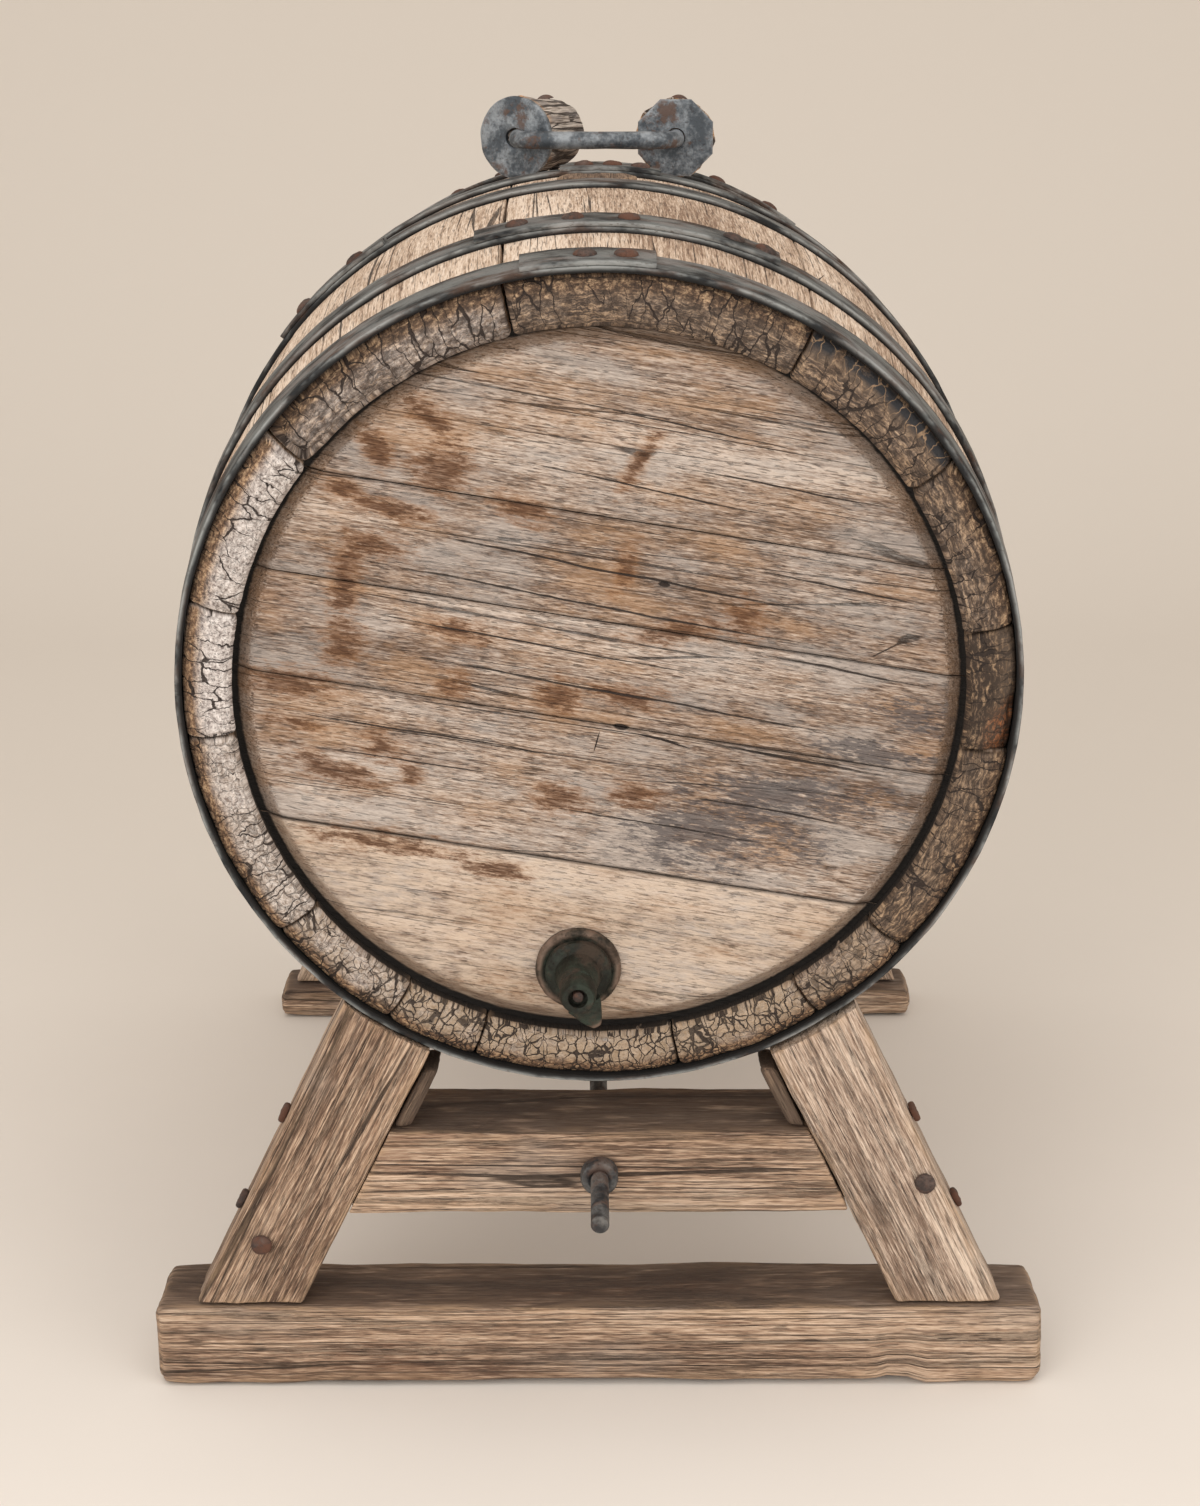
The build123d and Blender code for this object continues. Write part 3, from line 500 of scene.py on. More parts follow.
@dataclass(frozen=True)
class HeadFinish(OakFinish):
    """Head oak, with long splits, rusty drips, a knot hole, a dark damp patch and painted shade
    round its rim.
    """

    splits: tuple[Spot, ...] = ()
    rust: tuple[Spot, ...] = ()
    damp: tuple[Spot, ...] = ()
    holes: tuple[Spot, ...] = ()
    rust_colour: Colour = paint(80, 47, 20)
    halo_colour: Colour = paint(148, 104, 64)
    damp_colour: Colour = paint(72, 66, 67)
    pale_board: Colour = paint(206, 185, 164)
    warm: Colour = paint(178, 138, 100)
    ash: Colour = paint(176, 169, 163)
    # near black: painted shade for the gap where the bevel enters the croze
    shade: Colour = paint(22, 17, 13)

    def make(self) -> Material:
        """Make the material.

        Returns:
            The material.
        """
        mix = Mixture(self.name)
        colour, height, check = self.body(mix)
        grain = mix.grain()
        ragged = mix.waver(grain, (300.0, 75.0, 300.0), 5.0, 0.7)
        crisp = mix.waver(grain, (900.0, 220.0, 900.0), 3.0, 0.7)
        wobble = mix.waver(grain, (40.0, 14.0, 40.0), 3.0)
        drift = mix.bend(grain, wobble * 0.0045)
        hue = mix.cloud(grain, (44.0, 13.0, 44.0), 4.0, 0.62) + crisp * 0.25
        colour = mix.blend(colour, self.warm, mix.fade(hue, 0.50, 0.68) * 0.42)
        colour = mix.blend(colour, self.ash, mix.fade(hue, 0.53, 0.36) * 0.5)
        pale = mix.mark("pale") * mix.fade(ragged, -0.2, 0.16) * 0.9
        colour = mix.blend(colour, self.pale_board, pale)
        if self.damp:
            away = mix.nearest(grain, self.damp) + ragged * 4.0 + crisp * 3.0 + wobble * 2.0
            colour = mix.blend(colour, self.damp_colour, mix.fade(away, 1.2, 0.4) * 0.75)
        if self.rust:
            away = mix.nearest(drift, self.rust) + ragged * 4.4 + crisp * 2.4 + wobble * 2.2
            fine = mix.fade(mix.cloud(grain, (1300.0, 130.0, 1300.0), 2.0, 0.6), 0.32, 0.56)
            colour = mix.blend(colour, self.halo_colour, mix.fade(away, 2.1, 0.6) * 0.6)
            core = mix.fade(away, 1.3, 0.4) * (fine * 0.5 + 0.4)
            colour = mix.blend(colour, self.rust_colour, core)
        if self.splits:
            split = mix.fade(mix.nearest(drift, self.splits) + ragged * 1.3, 0.8, 0.3)
            colour = mix.blend(colour, self.crack, split * 0.95)
            height = height - split * 2.2
        if self.holes:
            hole = mix.fade(mix.nearest(grain, self.holes) + ragged * 0.9, 1.0, 0.6)
            colour = mix.blend(colour, self.crack, hole)
            height = height - hole * 3.0
        rim = mix.mark("rim")
        colour = mix.blend(colour, self.edge, mix.fade(rim + ragged * 0.3, 0.02, 0.3) * 0.5)
        colour = mix.blend(colour, self.crack, mix.mark("joint") * mix.fade(ragged, -0.3, 0.02))
        # painted shade: the outermost rim of the bevel turns near black, for the dark gap into the
        # croze
        colour = mix.blend(colour, self.shade, mix.fade(rim + ragged * 0.2, 0.78, 0.96))
        return mix.finish(colour, 0.78 + check * 0.12, height, self.bump_depth)


@dataclass(frozen=True)
class IronFinish:
    """Old iron or bronze with a cloudy skin, rust, worn edges painted bright as a glint too, and
    painted shade where a hoop lies on the staves.
    """

    name: str
    base: Colour
    cloud: Colour
    rust: Colour
    worn_glint: Colour
    rust_start: float
    rust_stop: float
    metal: float
    rough: float
    bump_depth: float = 0.0005
    # near black: painted shade for the gap where a hoop lies on the staves
    gap_shade: Colour = paint(20, 18, 17)
    drawn: bool = False
    draw: Triple = (0.45, 1.0, 1.0)

    def make(self) -> Material:
        """Make the material.

        Returns:
            The material.
        """
        mix = Mixture(self.name)
        place = mix.vector("MULTIPLY", mix.grain(), self.draw) if self.drawn else mix.place()
        patch = mix.cloud(place, (70.0, 70.0, 70.0), 4.0, 0.6)
        speck = mix.cloud(place, (420.0, 420.0, 420.0), 3.0, 0.6)
        blot = mix.cloud(place, (46.0, 52.0, 48.0), 5.0, 0.68)
        pits = mix.fade(mix.cloud(place, (900.0, 900.0, 900.0), 2.0), 0.60, 0.72)
        colour = mix.blend(self.base, self.cloud, mix.fade(patch + speck * 0.5, 0.60, 0.98))
        rust = mix.fade(blot + speck * 0.12, self.rust_start, self.rust_stop)
        colour = mix.blend(colour, self.rust, rust * 0.9)
        # worn edges, lightened both as real wear and, on the hoops, as a painted glint
        worn = (mix.mark("wear") * mix.fade(patch, 0.36, 0.6)).held()
        colour = mix.blend(colour, self.worn_glint, worn * 0.8)
        # painted shade where the hoop lies on the staves: near black, rougher and less metallic
        gap_shade = mix.mark("grime")
        colour = mix.blend(mix.blend(colour, self.rust, pits * 0.35), self.gap_shade, gap_shade)
        rough = self.rough + rust * 0.3 + speck * 0.2 - worn * 0.1 + gap_shade * 0.3
        metal = (1.0 - rust * 0.8) * (1.0 - gap_shade) * self.metal
        height = patch * 0.8 + speck * 0.4 + rust * 0.5 - pits * 0.5
        return mix.finish(colour, rough, height, self.bump_depth, metal)


class Bench:
    """Modelling steps that the pieces share."""

    CUTS_AT_ONCE = 90
    STRAIGHT = 0.99
    MERGE_DISTANCE = 0.00001
    COPY_TURN = 2.4

    @staticmethod
    def adopt(name: str) -> Piece:
        """Name the piece that was just added.

        Args:
            name: Its name.

        Returns:
            The piece.
        """
        piece = bpy.context.object
        piece.name = name
        piece.data.name = name
        return piece

    @staticmethod
    def clear() -> None:
        """Deselect everything, so that operators reach one piece only."""
        if bpy.context.object and bpy.context.object.mode != "OBJECT":
            bpy.ops.object.mode_set(mode="OBJECT")
        bpy.ops.object.select_all(action="DESELECT")

    @staticmethod
    def pick(piece: Piece) -> None:
        """Make one piece the only selected one.

        Args:
            piece: The piece.
        """
        Bench.clear()
        piece.select_set(True)
        bpy.context.view_layer.objects.active = piece

    @staticmethod
    def points(piece: Piece) -> Array:
        """Read a mesh's points.

        Args:
            piece: The piece.

        Returns:
            A row of three for each point.
        """
        flat = np.empty(len(piece.data.vertices) * 3)
        piece.data.vertices.foreach_get("co", flat)
        return flat.reshape(-1, 3)

    @staticmethod
    def move(piece: Piece, points: Array) -> None:
        """Set a mesh's points."""
        piece.data.vertices.foreach_set("co", np.ascontiguousarray(points).ravel())
        piece.data.update()

    @staticmethod
    def mark(piece: Piece, **marks: Array) -> None:
        """Write numbers or vectors on a mesh's points for its finish to read.

        Args:
            piece: The piece.
            **marks: Values for each point, by name.
        """
        for name, values in marks.items():
            kind, key = ("FLOAT_VECTOR", "vector") if np.ndim(values) == 2 else ("FLOAT", "value")
            layer = piece.data.attributes.new(name, kind, "POINT")
            layer.data.foreach_set(key, np.ascontiguousarray(values, dtype=np.float32).ravel())

    @staticmethod
    def edge_ends(piece: Piece) -> Array:
        """Read the two end points of each of a mesh's edges.

        Args:
            piece: The piece.

        Returns:
            Two points for each edge.
        """
        ends = np.empty(len(piece.data.edges) * 2, dtype=np.int32)
        piece.data.edges.foreach_get("vertices", ends)
        return Bench.points(piece)[ends.reshape(-1, 2)]

    @staticmethod
    def edit_all() -> None:
        """Enter edit mode with the whole mesh of the active piece selected."""
        bpy.ops.object.mode_set(mode="EDIT")
        bpy.ops.mesh.select_all(action="SELECT")

    @staticmethod
    def edit_edges(piece: Piece, chosen: Array) -> None:
        """Enter edit mode with only the chosen edges of a piece selected.

        Args:
            piece: The piece.
            chosen: Whether each edge is selected.
        """
        Bench.pick(piece)
        bpy.context.tool_settings.mesh_select_mode = (False, True, False)
        bpy.ops.object.mode_set(mode="EDIT")
        bpy.ops.mesh.select_all(action="DESELECT")
        bpy.ops.object.mode_set(mode="OBJECT")
        piece.data.edges.foreach_set("select", chosen)
        bpy.ops.object.mode_set(mode="EDIT")

    @staticmethod
    def polar(points: Array) -> tuple[Array, Array]:
        """Reach and turn of points about the z axis."""
        return np.hypot(points[:, 0], points[:, 1]), np.arctan2(points[:, 1], points[:, 0])

    @staticmethod
    def turned(reach: Array, turn: Array, along: Array) -> Array:
        """Points from their reach and turn about the y axis and their place along it."""
        return columns(reach * np.cos(turn), along, reach * np.sin(turn))

    @staticmethod
    def carry(points: Array, place: Matrix) -> Array:
        """Move points from a place's own frame to the object's."""
        return points @ np.array(place.to_3x3()).T + np.array(place.translation)

    @staticmethod
    def cut(piece: Piece, axis: int, cuts: int) -> None:
        """Subdivide the edges that run along one axis.

        Args:
            piece: The piece.
            axis: The axis: 0, 1 or 2.
            cuts: How many cuts each edge gets.
        """
        ends = Bench.edge_ends(piece)
        run = np.abs(ends[:, 0] - ends[:, 1])
        Bench.edit_edges(piece, run[:, axis] > run.sum(axis=1) * Bench.STRAIGHT)
        bpy.ops.mesh.subdivide(number_cuts=cuts)
        bpy.ops.object.mode_set(mode="OBJECT")

    @staticmethod
    def spread(values: Array, rows: Sequence[float]) -> Array:
        """Move evenly cut rows to their own places."""
        index = (values + 1.0) / 2.0 * (len(rows) - 1)
        return np.interp(index, np.arange(len(rows)), rows)

    @staticmethod
    def block(name: str, rows: Sequence[Sequence[float]]) -> tuple[Piece, Array]:
        """Cut a block into a grid.

        Args:
            name: The piece's name.
            rows: Places of the grid's lines from -1 to 1, for each axis.

        Returns:
            The piece, and its points from -1 to 1.
        """
        Bench.clear()
        bpy.ops.mesh.primitive_cube_add(size=2.0)
        piece = Bench.adopt(name)
        for axis, places in enumerate(rows):
            Bench.cut(piece, axis, len(places) - 2)
        even = Bench.points(piece)
        places = [Bench.spread(even[:, axis], rows[axis]) for axis in range(3)]
        return piece, columns(*places)

    @staticmethod
    def column(name: str, sides: int, profile: Profile) -> Piece:
        """Turn a solid piece about its own z axis.

        Args:
            name: The piece's name.
            sides: How many sides the circle has.
            profile: Heights and radii from the bottom to the top.

        Returns:
            The piece.
        """
        Bench.clear()
        bpy.ops.mesh.primitive_cylinder_add(vertices=sides, radius=1.0, depth=2.0)
        piece = Bench.adopt(name)
        segments = len(profile) - 1
        if segments > Bench.CUTS_AT_ONCE:
            Bench.cut(piece, 2, 1)
            segments //= 2
        if segments > 1:
            Bench.cut(piece, 2, segments - 1)
        even = Bench.points(piece)
        heights, radii = np.array(profile).T
        height = Bench.spread(even[:, 2], heights)
        radius = Bench.spread(even[:, 2], radii)
        Bench.move(piece, columns(even[:, 0] * radius, even[:, 1] * radius, height))
        return piece

    @staticmethod
    def ring(name: str, sides: int, profile: Profile) -> Piece:
        """Turn a pierced piece about its own z axis: a circle is drawn out and closed on itself.

        Args:
            name: The piece's name.
            sides: How many sides the circle has.
            profile: Heights and radii once round the section.

        Returns:
            The piece.
        """
        Bench.clear()
        height, radius = profile[0]
        middle = (0.0, 0.0, height)
        bpy.ops.mesh.primitive_circle_add(vertices=sides, radius=radius, location=middle)
        piece = Bench.adopt(name)
        bpy.ops.object.transform_apply()
        Bench.edit_all()
        for next_height, next_radius in (*profile[1:], profile[0]):
            Bench.draw_out((0.0, 0.0, next_height - height))
            share = next_radius / radius
            middle = (0.0, 0.0, next_height)
            bpy.ops.transform.resize(value=(share, share, 1.0), center_override=middle)
            height, radius = next_height, next_radius
        Bench.close(piece)
        return piece

    @staticmethod
    def draw_out(step: Triple, count: int = 1) -> None:
        """Draw out what is selected in edit mode, in some equal steps."""
        for _ in range(count):
            bpy.ops.mesh.extrude_region_move(TRANSFORM_OT_translate={"value": step})

    @staticmethod
    def close(piece: Piece) -> None:
        """Merge a mesh's doubled points and turn its faces outwards.

        Args:
            piece: The piece.
        """
        if piece.mode != "EDIT":
            Bench.pick(piece)
        Bench.edit_all()
        bpy.ops.mesh.remove_doubles(threshold=Bench.MERGE_DISTANCE)
        bpy.ops.mesh.normals_make_consistent(inside=False)
        bpy.ops.object.mode_set(mode="OBJECT")

    @staticmethod
    def bevel(piece: Piece, width: float, segments: int, angle: float) -> None:
        """Round a piece's sharp edges with a modifier that is applied.

        Args:
            piece: The piece.
            width: Width of the rounding.
            segments: How many faces it has across.
            angle: Least angle of a sharp edge, in degrees.
        """
        Bench.pick(piece)
        rounding = piece.modifiers.new("edges", "BEVEL")
        rounding.width = width
        rounding.segments = segments
        rounding.limit_method = "ANGLE"
        rounding.angle_limit = math.radians(angle)
        bpy.ops.object.modifier_apply(modifier=rounding.name)

    @staticmethod
    def smooth(piece: Piece, angle: float) -> None:
        """Shade a piece smooth up to an angle."""
        Bench.pick(piece)
        bpy.ops.object.shade_smooth_by_angle(angle=math.radians(angle))

    @staticmethod
    def batter(piece: Piece, pitch: float, depth: float, seed: float) -> None:
        """Dent a piece a little, along its normals.

        Args:
            piece: The piece.
            pitch: Size of the dents.
            depth: Their depth.
            seed: A number that makes them their own.
        """
        points = Bench.points(piece)
        normals = np.empty(points.size)
        piece.data.vertices.foreach_get("normal", normals)
        dents = Weather.field(points, pitch, seed)
        Bench.move(piece, points + normals.reshape(-1, 3) * (dents * depth)[:, None])

    @staticmethod
    def join(name: str, pieces: Sequence[Piece]) -> Piece:
        """Join pieces into one object.

        Args:
            name: The whole piece's name.
            pieces: The pieces.

        Returns:
            The whole piece.
        """
        Bench.pick(pieces[0])
        for piece in pieces:
            piece.select_set(True)
        bpy.ops.object.join()
        return Bench.adopt(name)

    @staticmethod
    def copies(name: str, model: Piece, seats: Sequence[Matrix]) -> Piece:
        """Copy a model to each seat and join the copies; the model itself goes.

        Args:
            name: The whole piece's name.
            model: What to copy.
            seats: Where the copies go.

        Returns:
            The whole piece.
        """
        made = []
        for number, seat in enumerate(seats):
            piece = bpy.data.objects.new(f"{name}_{number}", model.data.copy())
            bpy.context.collection.objects.link(piece)
            piece.data.transform(seat @ Matrix.Rotation(Bench.COPY_TURN * number, 4, "Z"))
            made.append(piece)
        bpy.data.objects.remove(model)
        return Bench.join(name, made)

    @staticmethod
    def seat(point: Sequence[float], normal: Sequence[float]) -> Matrix:
        """Place whose z axis stands on a surface."""
        turn = Vector(normal).to_track_quat("Z", "Y").to_matrix().to_4x4()
        return Matrix.Translation(Vector(point)) @ turn

    @staticmethod
    def dress(piece: Piece, finish: Material) -> None:
        """Give a piece its only finish."""
        piece.data.materials.clear()
        piece.data.materials.append(finish)

    @staticmethod
    def fit(piece: Piece, finish: Material, slot: Slot, node: str, body: Body = Body.FIXED) -> None:
        """Dress a piece, tie it to its body and hide the imported part of the node that it stands
        for.

        Args:
            piece: The piece.
            finish: Its material.
            slot: Its slot; not used.
            node: The node.
            body: Its body.
        """
        Bench.dress(piece, finish)
        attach(piece, body.value)
        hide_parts(node)
        LOG.info("%s: %d faces", piece.name, len(piece.data.polygons))


class Weather:
    """Wear that is worked into the meshes."""

    @staticmethod
    def field(points: Array, pitch: Triple | float, seed: float, octaves: int = 3) -> Array:
        """Smooth unevenness over some points.

        Args:
            points: The points.
            pitch: Size of the waves, along each axis or along all of them.
            seed: A number that makes this field its own.
            octaves: How many finer layers it has.

        Returns:
            About -1 to 1 for each point.
        """
        places = points / np.array(pitch) + seed
        return np.array([noise.fractal(Vector(place), 1.0, 2.0, octaves) for place in places])

    @staticmethod
    def rounded(points: Array, half: Array, radius: Array) -> tuple[Array, Array]:
        """Round a block's edges.

        Args:
            points: Points on the block.
            half: Half of its size along each axis.
            radius: Radius at each point.

        Returns:
            The rounded points and their normals.
        """
        core = np.maximum(half - radius[:, None], 0.0)
        inner = np.clip(points, -core, core)
        outward = points - inner
        length = np.maximum(np.linalg.norm(outward, axis=1), TINY)
        normal = outward / length[:, None]
        return inner + normal * radius[:, None], normal

    @staticmethod
    def edge(points: Array, half: Array, reach: float) -> Array:
        """How near each point of a block is to one of its edges, from 0 to 1."""
        away = np.sort(half - np.abs(points), axis=1)[:, 1]
        return np.exp(-np.maximum(away, 0.0) / reach)

    @staticmethod
    def rows(count: int, ease: float = 0.85) -> list[float]:
        """Places of a grid's lines from -1 to 1, closer together near the ends."""
        even = np.linspace(-1.0, 1.0, count)
        return list((1.0 - ease) * even + ease * np.sin(even * math.pi / 2))


@dataclass
class Timber:
    """A worn length of oak whose edges are rounded and whose faces are uneven."""

    name: str
    size: Triple
    rows: tuple[int, int, int]
    edge_radius: float
    seed: float
    end_radius: float
    unevenness: float
    # whether the upward faces are marked darker; it also swaps the grain's across and deep axes
    dark_top: bool = False
    # share by which the whole timber darkens: grime and painted shade
    dirt_and_shade: float = 0.0
    least_radius: float = 0.0004
    end_reach: float = 0.012
    wear_reach: float = 0.0045
    chip_depth: float = 0.0005
    shrinkage: float = 0.0004

    def build(self, shape: Callable[[Array], Array]) -> Piece:
        """Model the timber.

        Args:
            shape: Bends points from the straight timber (across, along, deep) to their places.

        Returns:
            The piece.
        """
        half = np.array(self.size) / 2
        piece, share = Bench.block(self.name, [Weather.rows(count) for count in self.rows])
        straight = share * half
        ripple = Weather.field(straight, (0.03, 0.05, 0.03), self.seed)
        near_end = np.exp(-(half[1] - np.abs(straight[:, 1])) / self.end_reach)
        radius = self.edge_radius * (1.0 + 0.7 * ripple)
        radius = radius + max(self.end_radius - self.edge_radius, 0.0) * near_end
        points, normal = Weather.rounded(straight, half, np.maximum(radius, self.least_radius))
        waves = Weather.field(straight, (0.035, 0.16, 0.035), self.seed + 3.7)
        chips = Weather.field(straight, (0.007, 0.03, 0.007), self.seed + 9.1, 2)
        wear = Weather.edge(straight, half, self.wear_reach)
        sink = self.unevenness * (waves - 0.8) + self.chip_depth * chips * (0.4 + wear)
        points = points + normal * (sink - self.shrinkage)[:, None]
        Bench.move(piece, shape(points))
        grain = straight[:, ::-1] if self.dark_top else straight
        # upward faces are marked darker, and the given share darkens the whole timber: painted
        # shade with some grime on the cleats and the crossbeam
        top = held(normal[:, 2]) * self.dark_top
        Bench.mark(piece, grain=grain + self.seed, wear=wear * (1.0 - self.dirt_and_shade),
                   grime=np.maximum(top, self.dirt_and_shade))
        Bench.smooth(piece, 50.0)
        return piece


@dataclass(frozen=True)
class CaskShape:
    """Outline of the cask, in metres; its frame has x across, y along the axis and z up from it."""

    length: float = 0.610
    chime_radius: float = 0.210
    bulge_rise: float = 0.019
    chime_wall: float = 0.026
    bilge_wall: float = 0.022
    tilt: float = math.radians(3.0)
    front_depth: float = -0.28996
    axis_height: float = 0.388

    @property
    def matrix(self) -> Matrix:
        """Place of the cask's frame: its origin is the middle of the front chime."""
        middle = Matrix.Translation((0.0, self.front_depth, self.axis_height))
        return middle @ Matrix.Rotation(self.tilt, 4, "X")

    def arc(self, station: Array, crown: float, rise: float) -> Array:
        """Radius of a bulged line that has its crown in the middle of the cask.

        Args:
            station: Places along the axis.
            crown: Radius in the middle.
            rise: How far the middle stands out.

        Returns:
            The radii.
        """
        half = self.length / 2
        bow = (half**2 + rise**2) / (2 * rise)
        return crown - bow + np.sqrt(bow**2 - (station - half) ** 2)

    def outside(self, station: Array) -> Array:
        """Outer radius of the staves."""
        return self.arc(station, self.chime_radius + self.bulge_rise, self.bulge_rise)

    def inside(self, station: Array) -> Array:
        """Inner radius of the staves."""
        rise = self.bulge_rise + self.chime_wall - self.bilge_wall
        return self.arc(station, self.chime_radius - self.chime_wall + rise, rise)

    def slope(self, station: float) -> float:
        """Rise of the outside per length."""
        step = 0.001
        return float(self.outside(station + step) - self.outside(station - step)) / (2 * step)

    def world(self, points: Array) -> Array:
        """Move points from the cask's frame to the object's."""
        return Bench.carry(points, self.matrix)

    def local(self, points: Array) -> Array:
        """Move points from the object's frame to the cask's."""
        rotation = np.array(self.matrix.to_3x3())
        return (points - np.array(self.matrix.translation)) @ rotation

    def seat(self, station: float, angle: float, lift: float) -> Matrix:
        """Place on the staves' outside, lifted off it, with its z axis pointing outwards.

        Args:
            station: Place along the axis.
            angle: Angle from the viewer's right.
            lift: Height over the staves.

        Returns:
            The place.
        """
        turn = math.radians(angle)
        lean = math.atan(self.slope(station))
        outward = Vector((math.cos(turn), 0.0, math.sin(turn)))
        normal = outward * math.cos(lean) - Vector((0.0, math.sin(lean), 0.0))
        foot = outward * float(self.outside(station)) + Vector((0.0, station, 0.0))
        return self.matrix @ Bench.seat(foot + normal * lift, normal)


SHAPE = CaskShape()


@dataclass(frozen=True)
class StaveLook:
    """How one stave's front end has weathered."""

    width: float
    pale: float
    first_corner: float = 0.0035
    last_corner: float = 0.0035
    scorch: float = 0.0
    broken: float = 0.0
    net: float = 0.25
    dark: float = 0.0
    first_gap: float = 0.0006
    last_gap: float = 0.0006


@dataclass
class Staves:
    """Ring of staves, each bulged, hollowed, grooved for the heads and chamfered at its ends."""

    first_joint: float = 103.0
    gap: float = 0.0005
    chamfer_length: float = 0.008
    chamfer_depth: float = 0.011
    inner_bevel: float = 0.002
    croze_start: float = 0.017
    croze_stop: float = 0.024
    croze_depth: float = 0.006
    croze_step: float = 0.0001
    grid_pitch: float = 0.0028
    least_rows: int = 14
    deep_rows: tuple[float, ...] = (-1.0, -0.9, -0.66, -0.33, 0.0, 0.3, 0.6, 0.82, 0.94, 1.0)
    skin_gap: float = 0.0001
    edge_radius: float = 0.0007
    least_radius: float = 0.0004
    most_radius: float = 0.0125
    corner_reach: float = 0.007
    hoop_reach: float = 0.03
    chamfer_reach: float = 0.045
    gap_reach: float = 0.006
    end_reach: float = 0.011
    wear_reach: float = 0.002
    wave_depth: float = 0.0005
    pit_depth: float = 0.0005
    tear_depth: float = 0.006
    rear: StaveLook = StaveLook(0.0, 0.3, net=0.3)
    looks: tuple[StaveLook, ...] = (
        StaveLook(42.6, 0.10, 0.006, 0.004, net=0.15, dark=0.85, first_gap=0.0017),
        StaveLook(26.2, 0.06, 0.004, 0.006, scorch=1.0, net=0.0, dark=0.85),
        StaveLook(24.4, 0.10, 0.007, 0.004, net=0.05, dark=0.85),
        StaveLook(18.5, 0.00, 0.004, 0.006, scorch=0.45, broken=1.0, net=0.0, dark=1.35),
        StaveLook(32.5, 0.05, 0.004, 0.004, net=0.15, dark=0.8),
        StaveLook(15.7, 0.20, net=0.6, dark=0.25),
        StaveLook(21.4, 0.30, 0.004, 0.004, net=0.9),
        StaveLook(30.1, 0.40, 0.0045, 0.004, net=1.0),
        StaveLook(13.6, 0.42, net=0.9),
        StaveLook(20.2, 0.58, 0.004, 0.004, net=0.7),
        StaveLook(31.5, 0.80, 0.004, 0.005, net=0.45),
        StaveLook(19.4, 1.00, 0.004, 0.004, net=0.0),
        StaveLook(26.1, 0.92, 0.004, 0.005, net=0.15),
        StaveLook(37.8, 0.38, 0.011, 0.006, net=0.05, dark=0.75, first_gap=0.0010, last_gap=0.0017),
    )

    def stations(self) -> list[float]:
        """Places of the grid's rows from the front, with rows at the croze's edges.

        Returns:
            The places, in metres.
        """
        front = [0.0, 0.0006, 0.0014, 0.0025, 0.004, 0.0055, 0.0075, 0.010, 0.013,
                 self.croze_start - self.croze_step, self.croze_start,
                 self.croze_stop, self.croze_stop + self.croze_step, 0.028, 0.034, 0.042, 0.054]
        middle = list(np.linspace(0.068, SHAPE.length - 0.068, 32))
        return front + middle + [SHAPE.length - place for place in reversed(front)]

    def build(self, finish: Material) -> None:
        """Model every stave and dress it.

        Args:
            finish: The staves' oak.
        """
        joint = self.first_joint
        for number, look in enumerate(self.looks, start=1):
            piece = self.stave(number, look, joint - look.width / 2)
            Bench.fit(piece, finish, Slot.STAVE_OAK, f"stave_{number:02d}")
            joint -= look.width

    def stave(self, number: int, look: StaveLook, middle: float) -> Piece:
        """Model one stave.

        Args:
            number: The stave's number, clockwise from the top.
            look: How it has weathered.
            middle: Angle of its middle from the viewer's right.

        Returns:
            The piece.
        """
        half_width = SHAPE.chime_radius * math.radians(look.width) / 2 - self.gap / 2
        half = np.array([half_width, SHAPE.length / 2, SHAPE.chime_wall / 2])
        count = max(self.least_rows, int(half_width * 2 / self.grid_pitch))
        along_rows = [place / half[1] - 1.0 for place in self.stations()]
        rows = [Weather.rows(count, 0.6), along_rows, self.deep_rows]
        piece, share = Bench.block(f"worn_stave_{number:02d}", rows)
        straight = share * half
        from_end = half[1] - np.abs(straight[:, 1])
        at_front = straight[:, 1] < 0.0
        first_half = straight[:, 0] < 0.0
        end_share = np.exp(-from_end / self.corner_reach)
        corner = np.where(first_half, look.first_corner, look.last_corner)
        corner = np.where(at_front, corner, self.rear.first_corner)
        ragged = Weather.field(straight, (0.02, 0.05, 0.02), number * 1.7)
        radius = self.edge_radius + corner * end_share * (1.0 + 0.5 * ragged)
        radius = np.clip(radius, self.least_radius, self.most_radius)
        points, normal = Weather.rounded(straight, half, radius)
        waves = Weather.field(straight, (0.05, 0.22, 0.05), number * 2.3)
        pits = Weather.field(straight, (0.0055, 0.02, 0.0055), number * 3.1, 2)
        under_hoop = np.exp(-from_end / self.hoop_reach)
        sink = self.wave_depth * (waves - 0.9) * (1.0 - 0.9 * under_hoop)
        sink = sink + self.pit_depth * pits * end_share
        points = points + normal * sink[:, None]
        station = points[:, 1] + half[1]
        outer = SHAPE.outside(station) - self.skin_gap
        inner = SHAPE.inside(station)
        rise = (points[:, 2] / half[2] + 1.0) / 2.0
        reach = inner + rise * (outer - inner)
        ripple = Weather.field(straight, (0.025, 1.0, 1.0), number * 5.3)
        chamfer = self.chamfer_depth * (1.0 + 0.22 * ripple)
        torn = np.zeros(len(points))
        if look.broken:
            along_edge = share[:, 0] + 0.25 * ragged
            torn = look.broken * held((along_edge - 0.05) / 0.5) * at_front
            chamfer = chamfer + self.tear_depth * torn * (1.0 + 0.6 * pits)
        length = self.chamfer_length * chamfer / self.chamfer_depth
        slack = held((reach - (outer - chamfer)) / chamfer)
        bevel = held((inner + self.inner_bevel - reach) / self.inner_bevel)
        back = length * slack + self.inner_bevel * bevel
        blend = held(1.0 - from_end / self.chamfer_reach)
        station = np.where(at_front, station + back * blend, station - back * blend)
        groove = from_end > self.croze_start - TOLERANCE
        groove = groove & (from_end < self.croze_stop + TOLERANCE)
        reach = np.where(groove, np.maximum(reach, inner + self.croze_depth), reach)
        gap = np.where(first_half, look.first_gap, look.last_gap)
